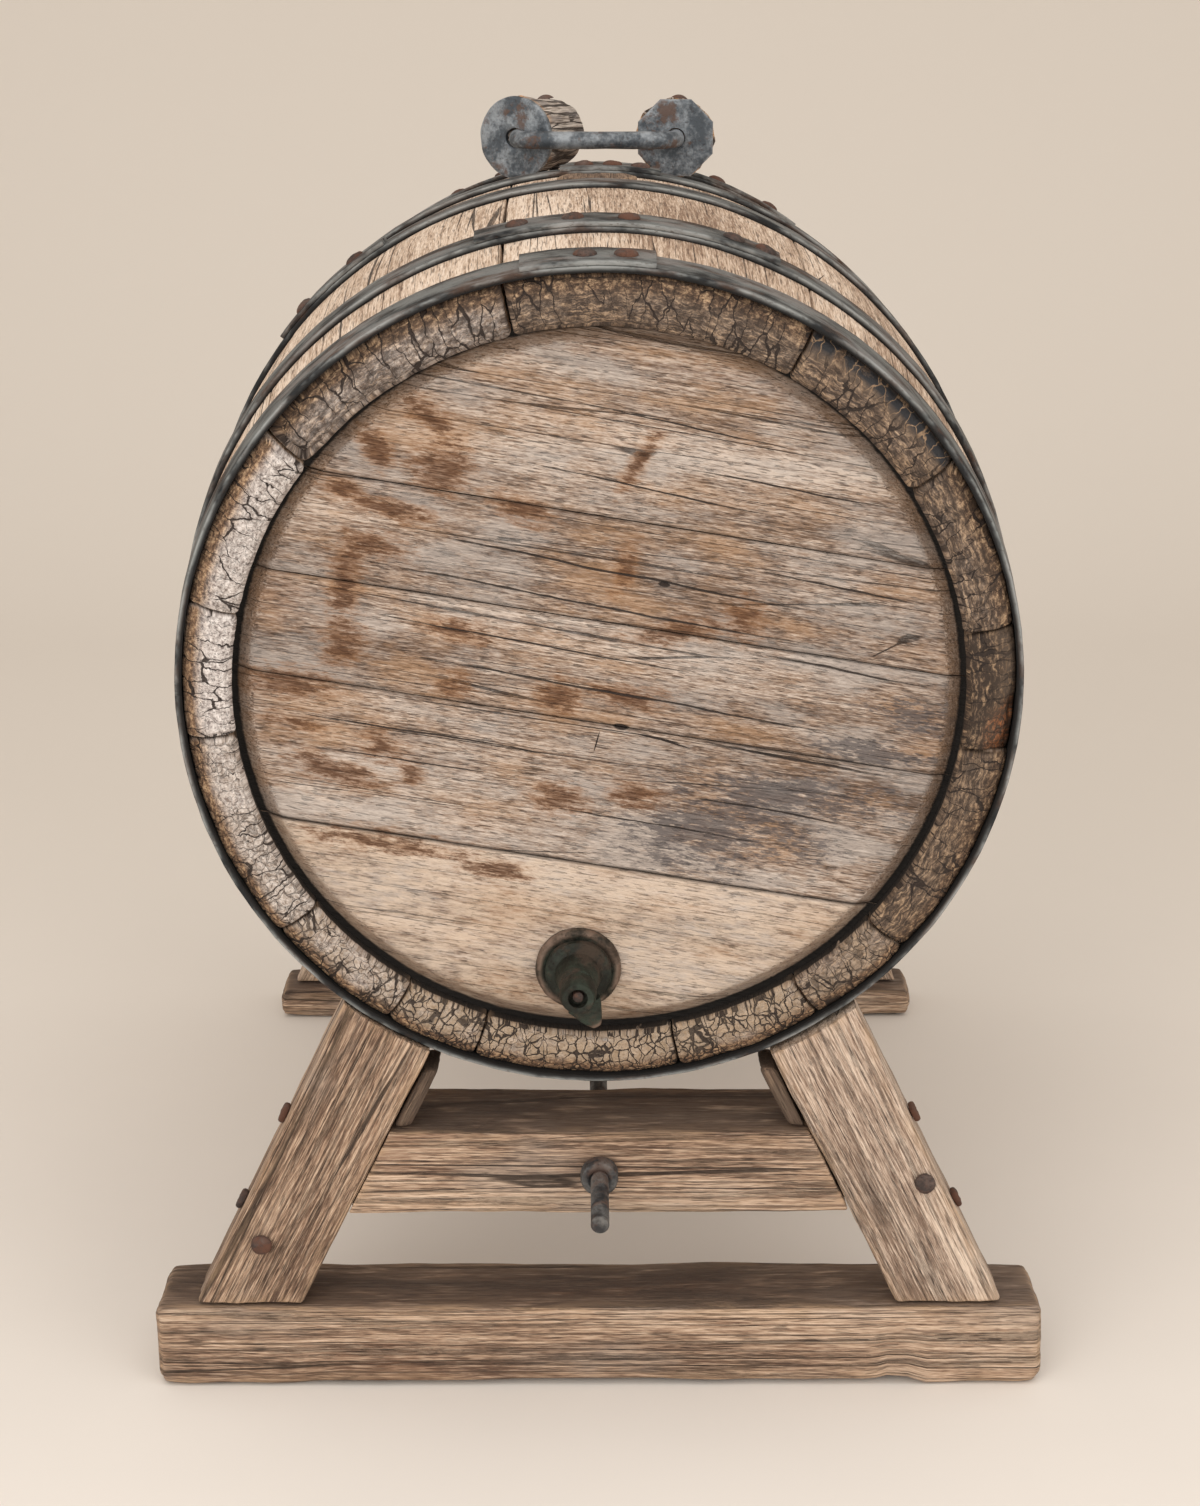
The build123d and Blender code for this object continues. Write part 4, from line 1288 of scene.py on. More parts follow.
        gap = np.where(at_front, gap, self.rear.first_gap)
        shrink = 1.0 - gap / half_width * np.exp(-from_end / self.gap_reach) * (1.0 + 0.6 * ragged)
        turn = math.radians(middle) - points[:, 0] * shrink / SHAPE.chime_radius
        Bench.move(piece, SHAPE.world(Bench.turned(reach, turn, station)))
        # bore: the staves' inner wall near each end, which is painted dark as the shade of the gap
        # behind the head
        bore = held((0.06 - rise) / 0.04)
        bore = bore * held((from_end - 0.0025) / 0.006)
        end = held(1.0 - from_end / self.end_reach) * (1.0 - bore)
        rim = held(slack * 2.2) * end
        Bench.mark(
            piece,
            grain=straight + number * 0.731,
            end=end,
            rim=rim,
            pale=np.where(at_front, look.pale, self.rear.pale),
            net=np.where(at_front, look.net, self.rear.net),
            dark=np.full(len(points), look.dark),
            # painted shade on the inner wall by the croze
            grime=bore * 3.0,
            scorch=look.scorch * rim * at_front,
            fresh=held(torn * slack * 1.6) * end,
            wear=Weather.edge(straight, half, self.wear_reach) * (1.0 - end) * 0.5,
        )
        Bench.close(piece)
        Bench.smooth(piece, 60.0)
        return piece


@dataclass
class Heads:
    """The two heads: boards that slope down to the right and are bevelled into the croze."""

    setback: float = 0.012
    thickness: float = 0.020
    radius: float = 0.1897
    rim_radius: float = 0.1837
    edge_front: float = 0.0173
    edge_back: float = 0.0237
    bevel: float = 0.008
    slope: float = math.radians(9.3)
    board_gap: float = 0.0006
    edge_slack: float = 0.0008
    grid_pitch: float = 0.003
    least_rows: int = 12
    along_rows: int = 96
    deep_rows: tuple[float, ...] = (-1.0, -0.86, -0.6, -0.2, 0.17, 0.47, 0.8, 0.95, 1.0)
    wave_depth: float = 0.0005
    joint_rise: float = 0.0009
    joint_reach: float = 0.0012
    joint_line: float = 0.0010
    faint_joint: float = 0.55
    pale_board: float = 0.85
    grain_step: float = 0.012
    front_joints: tuple[float, ...] = (-0.49, -0.09, 0.19, 0.47)
    rear_joints: tuple[float, ...] = (-0.52, -0.17, 0.16, 0.5)

    def build(self, front: Material, rear: Material) -> None:
        """Model both heads and dress them.

        Args:
            front: The front head's oak.
            rear: The rear head's oak.
        """
        limit = 1.0 - self.edge_slack / self.radius
        ends = ((End.FRONT, self.front_joints, front), (End.REAR, self.rear_joints, rear))
        for end, joints, finish in ends:
            limits = [-limit, *joints, limit]
            for number, (low, high) in enumerate(zip(limits[:-1], limits[1:]), start=1):
                node = f"{end.name.lower()}_head_board_{number}"
                piece = self.board(node, end, number, low * self.radius, high * self.radius)
                Bench.fit(piece, finish, Slot.HEAD_OAK, node)

    def board(self, node: str, end: End, number: int, low: float, high: float) -> Piece:
        """Model one board.

        Args:
            node: The node that it stands for.
            end: The end of the cask.
            number: The board's number from below.
            low: Its lower joint, from the head's middle.
            high: Its upper joint.

        Returns:
            The piece.
        """
        count = max(self.least_rows, int((high - low) / self.grid_pitch))
        rows = [Weather.rows(count, 0.55), Weather.rows(self.along_rows, 0.9), self.deep_rows]
        piece, share = Bench.block(f"worn_{node}", rows)
        across = (low + high) / 2 + share[:, 0] * ((high - low) / 2 - self.board_gap / 2)
        chord = np.sqrt(self.radius**2 - across**2)
        along = share[:, 1] * chord
        out = np.sqrt(across**2 + along**2)
        deep = self.setback + (1.0 - share[:, 2]) / 2 * self.thickness
        fall = held((out - (self.rim_radius - self.bevel)) / self.bevel)
        front = self.setback + fall * (self.edge_front - self.setback)
        back = self.setback + self.thickness
        back = back - fall * (back - self.edge_back)
        station = front + (deep - self.setback) / self.thickness * (back - front)
        flat = columns(across, along, station)
        waves = Weather.field(flat, (0.030, 0.12, 0.05), number * 1.9 + end.value)
        joint_away = np.minimum(across - low, high - across)
        soft = np.exp(-np.maximum(joint_away, 0.0) / self.joint_reach)
        face = held((share[:, 2] - 0.5) * 2.0)
        swell = self.wave_depth * (0.7 + waves) + self.joint_rise * soft * (1.0 + waves)
        station = station + face * swell
        turn_x = across * math.sin(self.slope) + along * math.cos(self.slope)
        turn_z = across * math.cos(self.slope) - along * math.sin(self.slope)
        if end is End.FRONT:
            placed = columns(turn_x, station, turn_z)
        else:
            placed = columns(-turn_x, SHAPE.length - station, turn_z)
        Bench.move(piece, SHAPE.world(placed))
        lowest = np.where(across - low < high - across, number == 2, number == 1)
        joint = held(1.15 - joint_away / self.joint_line) * face
        joint = joint * np.where(lowest, 1.0, self.faint_joint)
        pale = self.pale_board if end is End.FRONT and number == 1 else 0.0
        grain = columns(across, along, station + number * self.grain_step)
        Bench.mark(piece, grain=grain, rim=fall * face, pale=np.full(len(share), pale), joint=joint)
        Bench.close(piece)
        Bench.smooth(piece, 50.0)
        return piece


@dataclass(frozen=True)
class HoopLook:
    """One hoop: where it lies, and its riveted lap."""

    node: str
    station: float
    width: float
    lap_angle: float
    lap_arc: float
    rivets: tuple[float, ...]


@dataclass
class Hoops:
    """Six iron strips that are closed by riveted laps."""

    thickness: float = 0.0026
    clearance: float = 0.0002
    sunk: float = 0.0009
    rivet_radius: float = 0.006
    rivet_height: float = 0.0026
    shank_radius: float = 0.0024
    corner: float = 0.0007
    step_angle: float = 1.8
    least_steps: int = 8
    edge_wave: float = 0.0007
    edge_dent: float = 0.0003
    face_dent: float = 0.0002
    looks: tuple[HoopLook, ...] = (
        HoopLook("front_chime_hoop", 0.019, 0.028, 91.5, 17.5, (0.22, 0.52)),
        HoopLook("front_quarter_hoop", 0.107, 0.026, 86.0, 41.0, (0.05, 0.16, 0.5, 0.68, 0.86)),
        HoopLook("front_bilge_hoop", 0.265, 0.026, 132.0, 20.0, (0.25, 0.75)),
        HoopLook("rear_bilge_hoop", 0.345, 0.026, 88.0, 15.0, (0.2, 0.48, 0.76)),
        HoopLook("rear_quarter_hoop", 0.503, 0.026, 64.0, 20.0, (0.25, 0.75)),
        HoopLook("rear_chime_hoop", 0.591, 0.028, 112.0, 18.0, (0.25, 0.75)),
    )

    def build(self, iron: Material, rusty: Material) -> None:
        """Model the hoops and their rivets and dress them.

        Args:
            iron: The strips' iron.
            rusty: The rivets' iron.
        """
        seats = []
        for number, look in enumerate(self.looks):
            start = look.lap_angle - look.lap_arc / 2
            ring = self.strip(f"{look.node}_ring", look, 0.0, 360.0, 0)
            lap = self.strip(f"{look.node}_lap", look, start, look.lap_arc, 1)
            piece = Bench.join(f"worn_{look.node}", [ring, lap])
            self.distress(piece, look, number)
            Bench.fit(piece, iron, Slot.HOOP_IRON, look.node)
            stack = self.clearance + 2 * self.thickness
            for share in look.rivets:
                seats.append(SHAPE.seat(look.station, start + look.lap_arc * share, stack))
        rivets = Bench.copies("hammered_hoop_rivets", self.rivet(), seats)
        Bench.smooth(rivets, 60.0)
        Bench.fit(rivets, rusty, Slot.RUSTY_IRON, "hoop_rivets")

    def strip(self, name: str, look: HoopLook, start: float, arc: float, layer: int) -> Piece:
        """Sweep the strip's section round the cask.

        Args:
            name: The piece's name.
            look: The hoop.
            start: Angle where it starts.
            arc: Angle that it spans.
            layer: 0 for the ring on the staves, 1 for the lap on top of it.

        Returns:
            The piece, in the cask's frame.
        """
        near, away = look.station - look.width / 2, look.station + look.width / 2
        lift = self.clearance + layer * self.thickness
        low, high = float(SHAPE.outside(near)) + lift, float(SHAPE.outside(away)) + lift
        sunk = 0.0 if layer else self.sunk
        stations = np.array([near, away, near, away])
        radii = np.array([low - sunk, high - sunk, low + self.thickness, high + self.thickness])
        Bench.clear()
        bpy.ops.mesh.primitive_plane_add(size=1.0)
        piece = Bench.adopt(name)
        Bench.move(piece, Bench.turned(radii, math.radians(start), stations))
        Bench.edit_all()
        bpy.ops.mesh.bevel(offset=self.corner, segments=2, affect="VERTICES")
        bpy.ops.mesh.select_all(action="SELECT")
        if arc >= 360.0:
            bpy.ops.mesh.delete(type="ONLY_FACE")
            bpy.ops.mesh.select_all(action="SELECT")
        steps = max(self.least_steps, round(arc / self.step_angle))
        bpy.ops.mesh.spin(steps=steps, angle=math.radians(arc), center=(0.0, 0.0, 0.0),
                          axis=(0.0, 1.0, 0.0))
        Bench.close(piece)
        return piece

    def distress(self, piece: Piece, look: HoopLook, number: int) -> None:
        """Wave the strip a little and mark its worn edges, painted bright as a glint too, and its
        underside, painted as shade.

        Args:
            piece: The strip, in the cask's frame.
            look: The hoop.
            number: Its number from the front.
        """
        points = Bench.points(piece)
        turn = np.arctan2(points[:, 2], points[:, 0])
        reach = np.hypot(points[:, 0], points[:, 2])
        circle = columns(np.cos(turn), np.sin(turn), points[:, 1] * 4.0)
        side = (points[:, 1] - look.station) / (look.width / 2)
        waves = Weather.field(circle, (0.12, 0.12, 0.4), number * 4.1)
        dents = Weather.field(circle, (0.03, 0.03, 0.02), number * 7.7, 2)
        reach = reach + self.face_dent * dents
        fray = self.edge_wave * waves + self.edge_dent * dents
        station = points[:, 1] + np.sign(side) * fray
        Bench.move(piece, SHAPE.world(Bench.turned(reach, turn, station)))
        under = SHAPE.outside(points[:, 1]) + self.clearance + self.thickness * 0.4
        edge = held((np.abs(side) - 0.9) * 10.0)
        grain = columns(turn * SHAPE.chime_radius, points[:, 1], reach) + number * 0.37
        # the strip's inner face and the lower part of its sides carry painted shade; its outer
        # edges are worn and painted bright as a glint
        Bench.mark(piece, wear=edge * (reach > under), grime=(reach < under) * 1.0, grain=grain)
        Bench.smooth(piece, 40.0)

    def rivet(self) -> Piece:
        """Model one hammered rivet with its head on the z = 0 plane.

        Returns:
            The piece.
        """
        shank, head = self.shank_radius, self.rivet_radius
        profile = [(-2 * self.thickness, shank), (-0.0001, shank), (0.0, head)]
        profile += [(self.rivet_height * math.sin(turn), head * math.cos(turn))
                    for turn in (0.35, 0.7, 1.0, 1.25, 1.45)]
        piece = Bench.column("rivet", 20, profile)
        Bench.batter(piece, 0.004, 0.0004, 5.0)
        return piece


@dataclass
class Tap:
    """Bronze tap in the lowest board: flange, body, key with a beak, and pin."""

    across: float = -0.011
    drop: float = -0.151
    seat_station: float = 0.012
    key_base: float = 0.0274
    beak_turn: float = math.radians(-63.0)
    beak_root: float = 0.0066
    beak_length: float = 0.0150
    beak_edge: float = 0.0007
    beak_rows: tuple[int, int, int] = (12, 7, 7)
    flange: Profile = (
        (0.0, 0.0103), (0.0, 0.0225), (0.0012, 0.0225), (0.0030, 0.0219), (0.0040, 0.0205),
        (0.0040, 0.0192), (0.0034, 0.0182), (0.0034, 0.0103))
    body: Profile = (
        (-0.032, 0.0100), (0.0034, 0.0100), (0.0040, 0.0172), (0.0055, 0.0175), (0.0080, 0.0170),
        (0.0090, 0.0155), (0.0094, 0.0140), (0.0104, 0.0122), (0.0150, 0.0113), (0.0200, 0.0104),
        (0.0245, 0.0096), (0.0262, 0.0091), (0.0268, 0.0080), (0.0269, 0.0032))
    hub: Profile = (
        (0.0, 0.0031), (0.0, 0.0085), (0.0010, 0.0094), (0.0080, 0.0095), (0.0120, 0.0089),
        (0.0138, 0.0080), (0.0140, 0.0060), (0.0136, 0.0050), (0.0090, 0.0050), (0.0090, 0.0031))
    pin: Profile = (
        (0.0165, 0.0029), (0.0380, 0.0029), (0.0392, 0.0027), (0.0398, 0.0020), (0.0399, 0.0006))

    @property
    def matrix(self) -> Matrix:
        """Place of the tap: z points at the viewer along the cask's axis, x to the right."""
        local = Matrix.Translation((self.across, self.seat_station, self.drop))
        return SHAPE.matrix @ local @ Matrix.Rotation(math.radians(90.0), 4, "X")

    def build(self, bronze: Material, rusty: Material) -> None:
        """Model the tap's pieces and dress them.

        Args:
            bronze: The castings' bronze.
            rusty: The pin's iron.
        """
        flange = self.set_down(Bench.ring("cast_tap_flange", 56, self.flange), 0.0003, 3.0)
        Bench.fit(flange, bronze, Slot.TAP_BRONZE, "tap_flange")
        body = self.set_down(Bench.column("cast_tap_body", 48, self.body), 0.0004, 8.0)
        Bench.fit(body, bronze, Slot.TAP_BRONZE, "tap_body")
        key = self.set_down(self.key(), 0.00035, 12.0)
        Bench.fit(key, bronze, Slot.TAP_BRONZE, "tap_key", Body.TAP_KEY)
        pin = self.set_down(Bench.column("tap_pin_worn", 18, self.pin), 0.0001, 2.0)
        Bench.fit(pin, rusty, Slot.RUSTY_IRON, "tap_pin")

    def set_down(self, piece: Piece, dents: float, seed: float) -> Piece:
        """Dent a piece, mark its raised edges and put it in its place.

        Args:
            piece: The piece, about the tap's axis.
            dents: Depth of its dents.
            seed: A number that makes them their own.

        Returns:
            The piece.
        """
        Bench.batter(piece, 0.006, dents, seed)
        points = Bench.points(piece)
        reach, _ = Bench.polar(points)
        edge = held((reach - 0.0188) / 0.0008) * (points[:, 2] > 0.0008)
        Bench.mark(piece, wear=edge)
        piece.data.transform(self.matrix)
        Bench.smooth(piece, 38.0)
        return piece

    def key(self) -> Piece:
        """Model the key: a hollow-ended hub with a beak that is drawn out of its side.

        Returns:
            The piece.
        """
        base = self.key_base
        profile = [(base + height, radius) for height, radius in self.hub]
        hub = Bench.ring("tap_key_hub", 40, profile)
        rows = [np.linspace(-1.0, 1.0, count) for count in self.beak_rows]
        beak, share = Bench.block("tap_key_beak", rows)
        along = (share[:, 0] + 1.0) / 2
        reach = self.beak_root + along * self.beak_length
        flank = (0.0074 * (1.0 - along) ** 0.8 + 0.0020) * share[:, 1]
        thick = (0.0046 - 0.0022 * along) * np.sqrt(1.0 - 0.55 * share[:, 1] ** 2)
        height = base + 0.0052 + share[:, 2] * thick - 0.0012 * along
        cosine, sine = math.cos(self.beak_turn), math.sin(self.beak_turn)
        points = columns(reach * cosine - flank * sine, reach * sine + flank * cosine, height)
        Bench.move(beak, points)
        Bench.bevel(beak, self.beak_edge, 2, 50.0)
        return Bench.join("cast_tap_key", [hub, beak])


@dataclass
class CarryHandle:
    """Two wooden blocks with iron end plates, and the round iron bail between them."""

    spacing: float = 0.098
    block_radius: float = 0.0255
    block_length: float = 0.054
    block_taper: float = 0.005
    seat: float = 0.0015
    block_station: float = 0.392
    plate_thickness: float = 0.004
    bail_radius: float = 0.00525
    socket_radius: float = 0.00605
    bail_station: float = 0.368
    bail_bend: float = 0.015
    bail_insertion: float = 0.022
    bark_depth: float = 0.0011
    facet_depth: float = 0.0012
    chip_depth: float = 0.0006
    stave_gap: float = 0.0003
    turns: dict[Side, float] = field(default_factory=lambda: {Side.LEFT: 28.0, Side.RIGHT: 0.0})

    @property
    def rise(self) -> float:
        """Height of the blocks' middles over the cask's axis."""
        reach = float(SHAPE.outside(self.block_station)) + self.block_radius - self.seat
        return math.sqrt(reach**2 - (self.spacing / 2) ** 2)

    def matrix(self, side: Side) -> Matrix:
        """Place of a block: z runs back along it, from the middle of its front face.

        Args:
            side: The block's side.

        Returns:
            The place.
        """
        turn = math.radians(self.turns[side])
        backward = Vector((math.sin(turn), math.cos(turn), 0.0))
        right = Vector((math.cos(turn), -math.sin(turn), 0.0))
        axes = Matrix((right, Vector((0.0, 0.0, -1.0)), backward)).transposed().to_4x4()
        place = Matrix.Translation((side.value * self.spacing / 2, self.block_station, self.rise))
        return SHAPE.matrix @ place @ axes

    def build(self, oak: Material, iron: Material) -> None:
        """Model the handle's pieces and dress them.

        Args:
            oak: The blocks' oak.
            iron: Iron of the plates and the bail.
        """
        for side in Side:
            label = side.name.lower()
            Bench.fit(self.block(side), oak, Slot.BLOCK_OAK, f"handle_block_{label}")
            Bench.fit(self.plate(side), iron, Slot.HANDLE_IRON, f"handle_cap_{label}")
        Bench.fit(self.bail(), iron, Slot.HANDLE_IRON, "handle_bail", Body.BAIL)

    def block(self, side: Side) -> Piece:
        """Model a block: a rough tapered log that sits on the staves.

        Args:
            side: Its side.

        Returns:
            The piece.
        """
        length, radius = self.block_length, self.block_radius
        heights = [0.0002, 0.0008, *np.linspace(0.003, length - 0.005, 20), length - 0.003,
                   length - 0.0015, length - 0.0004, *[length] * 5]
        fall = [radius - self.block_taper * h / length for h in heights]
        fall[0] -= 0.0008
        for index, drop in ((-8, 0.0004), (-7, 0.0011), (-6, 0.0024)):
            fall[index] -= drop
        fall[-5:] = [radius * share for share in (0.70, 0.54, 0.38, 0.22, 0.06)]
        piece = Bench.column(f"rough_block_{side.name.lower()}", 72, list(zip(heights, fall)))
        points = Bench.points(piece)
        reach, turn = Bench.polar(points)
        wall = columns(np.cos(turn) * radius, np.sin(turn) * radius, points[:, 2])
        bark = Weather.field(wall, (0.007, 0.007, 0.018), 11.0 + side.value)
        facet = Weather.field(wall, (0.020, 0.020, 0.05), 17.0 + side.value)
        side_share = held(reach / radius * 3.0 - 1.6)
        inward = self.bark_depth * (bark - 0.5) + self.facet_depth * (facet - 0.6)
        scale = (reach + inward * side_share) / reach
        chips = Weather.field(points, 0.006, 23.0) * (points[:, 2] > length - 0.0005)
        shaped = points.copy()
        shaped[:, :2] *= scale[:, None]
        shaped[:, 2] += self.chip_depth * chips
        local = SHAPE.local(Bench.carry(shaped, self.matrix(side)))
        out = np.hypot(local[:, 0], local[:, 2])
        lift = np.maximum(out, SHAPE.outside(local[:, 1]) + self.stave_gap) / out
        local[:, 0::2] *= lift[:, None]
        Bench.move(piece, SHAPE.world(local))
        torn = held(1.0 - points[:, 2] / 0.007) * held((facet + 0.15) * 3.0)
        Bench.mark(piece, grain=wall[:, [0, 2, 1]] + 0.4 * side.value, wear=torn,
                   grime=held(bark * 1.6) * side_share)
        Bench.smooth(piece, 50.0)
        return piece

    def plate(self, side: Side) -> Piece:
        """Model a pierced iron end plate, round on the left and eight-sided on the right.

        Args:
            side: Its side.

        Returns:
            The piece.
        """
        radius, thick, hole = self.block_radius - 0.0003, self.plate_thickness, self.socket_radius
        profile = [(0.0, radius - 0.0004), (-thick * 0.6, radius), (-thick * 0.9, radius - 0.0003),
                   (-thick, radius - 0.0012)]
        profile += [(-thick, radius * share) for share in (0.86, 0.74, 0.62, 0.5, 0.38)]
        profile += [(-thick, hole + 0.0009), (-thick * 0.85, hole), (-0.0002, hole),
                    (0.0, radius * 0.6)]
        piece = Bench.ring(f"iron_plate_{side.name.lower()}", 64, profile)
        points = Bench.points(piece)
        reach, turn = Bench.polar(points)
        outer = held((reach - hole * 1.4) / (radius - hole * 1.4))
        if side is Side.RIGHT:
            eighth = math.pi / 4
            corner = np.mod(turn + eighth / 2, eighth) - eighth / 2
            cut = math.cos(eighth / 2) / np.cos(corner)
            reach = reach * (1.0 + outer * (cut - 1.0))
        else:
            waves = Weather.field(points, (0.012, 0.012, 1.0), 31.0)
            reach = reach * (1.0 + outer * 0.012 * waves)
        wide = np.where(outer < 0.02, 1.0 / math.cos(math.radians(self.turns[side])), 1.0)
        dents = np.clip(Weather.field(points, 0.012, 41.0 + side.value), -0.9, 0.9)
        height = points[:, 2] + 0.0005 * dents * (points[:, 2] < -thick * 0.7) + 0.0004
        shaped = columns(reach * np.cos(turn) * wide, reach * np.sin(turn), height)
        Bench.move(piece, shaped)
        rim = np.exp(-np.abs(outer - 1.0) / 0.05) + np.exp(-np.abs(reach - hole) / 0.0008)
        Bench.mark(piece, wear=held(rim) * 0.7)
        piece.data.transform(self.matrix(side))
        Bench.smooth(piece, 35.0)
        return piece

    def bail(self) -> Piece:
        """Model the bail: a disc that is drawn out, bent twice and rounded at both ends.

        Returns:
            The piece.
        """
        side, bend, rise = self.spacing / 2, self.bail_bend, self.rise
        back = self.block_station + self.bail_insertion
        Bench.clear()
        bpy.ops.mesh.primitive_circle_add(
            vertices=24, radius=self.bail_radius, fill_type="NGON", location=(-side, back, rise),
            rotation=(math.pi / 2, 0.0, 0.0))
        piece = Bench.adopt("bent_bail")
        bpy.ops.object.transform_apply()
        Bench.edit_all()
        corner = self.bail_station + bend
        Bench.draw_out((0.0, (corner - back) / 3, 0.0), 3)
        self.turn_corner((-side + bend, corner, rise))
        Bench.draw_out(((2 * side - 2 * bend) / 12, 0.0, 0.0), 12)
        self.turn_corner((side - bend, corner, rise))
        Bench.draw_out((0.0, (back - corner) / 3, 0.0), 3)
        Bench.close(piece)
        Bench.bevel(piece, 0.0012, 3, 60.0)
        Bench.batter(piece, 0.010, 0.00025, 51.0)
        points = Bench.points(piece)
        local = points[:, 2] - rise
        Bench.mark(piece, wear=held(local / self.bail_radius) * 0.6)
        piece.data.transform(SHAPE.matrix)
        Bench.smooth(piece, 50.0)
        return piece

    @staticmethod
    def turn_corner(middle: Triple) -> None:
        """Bend the selected end a quarter turn about an upright axis."""
        bpy.ops.mesh.spin(steps=10, angle=math.pi / 2, center=middle, axis=(0.0, 0.0, -1.0))


@dataclass
class Trestle:
    """One end of the stand: a foot, two leaning legs, a crossbeam between them and two cleats."""

    end: End
    leg_face: float
    foot_height: float
    hoop_station: float
    foot_length: float = 0.484
    foot_depth: float = 0.056
    foot_lip: float = 0.0025
    lean: float = math.radians(26.0)
    spread: float = 0.2128
    leg_width: float = 0.053
    leg_depth: float = 0.036
    beam_low: float = 0.101
    beam_high: float = 0.149
    beam_depth: float = 0.061
    joint_gap: float = 0.0002
    end_reach: float = 0.0014
    cleat_thickness: float = 0.009
    cleat_depth: float = 0.032
    cleat_height: float = 0.034
    cleat_setback: float = 0.003
    leg_length: float = 0.24
    hoop_height: float = 0.0031
    halvings: int = 24
    hollow_depth: float = 0.0022
    hollow_half: float = 0.157
    hollow_ease: float = 0.004
    notch_depth: float = 0.0038
    notch_place: float = 0.163
    notch_half: float = 0.011

    @property
    def half_width(self) -> float:
        """Half of a leg's width, measured level."""
        return self.leg_width / 2 / math.cos(self.lean)

    @property
    def leg_middle(self) -> float:
        """Depth of the legs' middle."""
        return self.leg_face - self.end.value * self.leg_depth / 2

    @property
    def label(self) -> str:
        """Word that the node names start with."""
        return self.end.name.lower()

    def centre(self, height: Array) -> Array:
        """Distance of a leg's middle from the stand's middle at a height."""
        return self.spread - height * math.tan(self.lean)

    def inner(self, height: Array) -> Array:
        """Distance of the joint on a leg's inner face from the stand's middle at a height."""
        return self.centre(height) - self.half_width - self.joint_gap / math.cos(self.lean)

    def build(self, oak: Material, pale: Material, dark: Material) -> None:
        """Model the timbers and dress them: a paler right leg, and cleats in darker oak that is
        also painted with shade.

        Args:
            oak: The stand's oak.
            pale: The right leg's oak.
            dark: The cleats' oak.
        """
        self.keep(self.foot(), oak, "foot")
        self.keep(self.beam(), oak, "crossbeam")
        for side in Side:
            label = side.name.lower()
            self.keep(self.leg(side), pale if side is Side.RIGHT else oak, f"leg_{label}")
            self.keep(self.cleat(side), dark, f"cleat_{label}")

    def keep(self, piece: Piece, oak: Material, part: str) -> None:
        """Dress one timber of the trestle."""
        Bench.fit(piece, oak, Slot.STAND_OAK, f"{self.label}_{part}")

    def foot(self) -> Piece:
        """Model the foot, hollowed underneath between its pads and notched near the right one.

        Returns:
            The piece.
        """
        middle = self.leg_face + self.end.value * (self.foot_lip - self.foot_depth / 2)
        height = self.foot_height
        timber = Timber(f"worn_{self.label}_foot", (self.foot_depth, self.foot_length, height),
                        (22, 96, 20), edge_radius=0.0032, seed=2.0 + self.end.value,
                        end_radius=0.0085, unevenness=0.0009, dark_top=True)
        notch_depth = self.notch_depth if self.end is End.FRONT else 0.0

        def shape(points: Array) -> Array:
            """Lay the timber across the stand and hollow its underside.

            Args:
                points: Points of the straight timber.

            Returns:
                Their places.
            """
            across = points[:, 1]
            low = np.clip(0.35 - points[:, 2] / height, 0.0, 0.85) / 0.85
            outside = np.exp((np.abs(across) - self.hollow_half) / self.hollow_ease)
            notch = np.exp(-(((across - self.notch_place) / self.notch_half) ** 4))
            lift = (self.hollow_depth / (1.0 + outside) + notch_depth * notch) * low
            depth = middle - self.end.value * points[:, 0]
            return columns(across, depth, points[:, 2] + height / 2 + lift)

        return timber.build(shape)

    def beam(self) -> Piece:
        """Model the crossbeam, whose ends lie against the legs.

        Returns:
            The piece.
        """
        level = (self.beam_low + self.beam_high) / 2
        length = 2 * float(self.centre(level) - self.half_width - self.joint_gap)
        size = (self.beam_depth, length, self.beam_high - self.beam_low)
        # a little painted shade, for the crossbeam under the cask
        timber = Timber(f"worn_{self.label}_crossbeam", size, (22, 60, 20), edge_radius=0.0022,
                        seed=5.0 + self.end.value, end_radius=0.0012, unevenness=0.0007,
                        dark_top=True, dirt_and_shade=0.03)
        middle = self.leg_face - self.end.value * self.beam_depth / 2

        def shape(points: Array) -> Array:
            """Lay the timber across the stand with leaning ends.

            Args:
                points: Points of the straight timber.

            Returns:
                Their places.
            """
            rise = points[:, 2] + level
            across = points[:, 1] / (length / 2) * (self.inner(rise) + self.end_reach)
            return columns(across, middle - self.end.value * points[:, 0], rise)

        return timber.build(shape)

    def leg(self, side: Side) -> Piece:
        """Model a leg that leans in and is hollowed on top to carry the chime hoop.

        Args:
            side: Its side.

        Returns:
            The piece.
        """
        size = (2 * self.half_width, self.leg_length, self.leg_depth)
        timber = Timber(f"worn_{self.label}_leg_{side.name.lower()}", size, (22, 64, 16),
                        edge_radius=0.0022, seed=8.0 + self.end.value + 2.5 * side.value,
                        end_radius=0.0016, unevenness=0.0007)

        def shape(points: Array) -> Array:
            """Lean the timber and fit its top under the hoop.

            Args:
                points: Points of the straight timber.

            Returns:
                Their places.
            """
            top = self.top(points[:, 0], points[:, 2])
            share = points[:, 1] / self.leg_length + 0.5
            rise = self.foot_height + share * (top - self.foot_height)
            across = side.value * (self.centre(rise) + points[:, 0])
            return columns(across, self.leg_middle - side.value * points[:, 2], rise)

        return timber.build(shape)

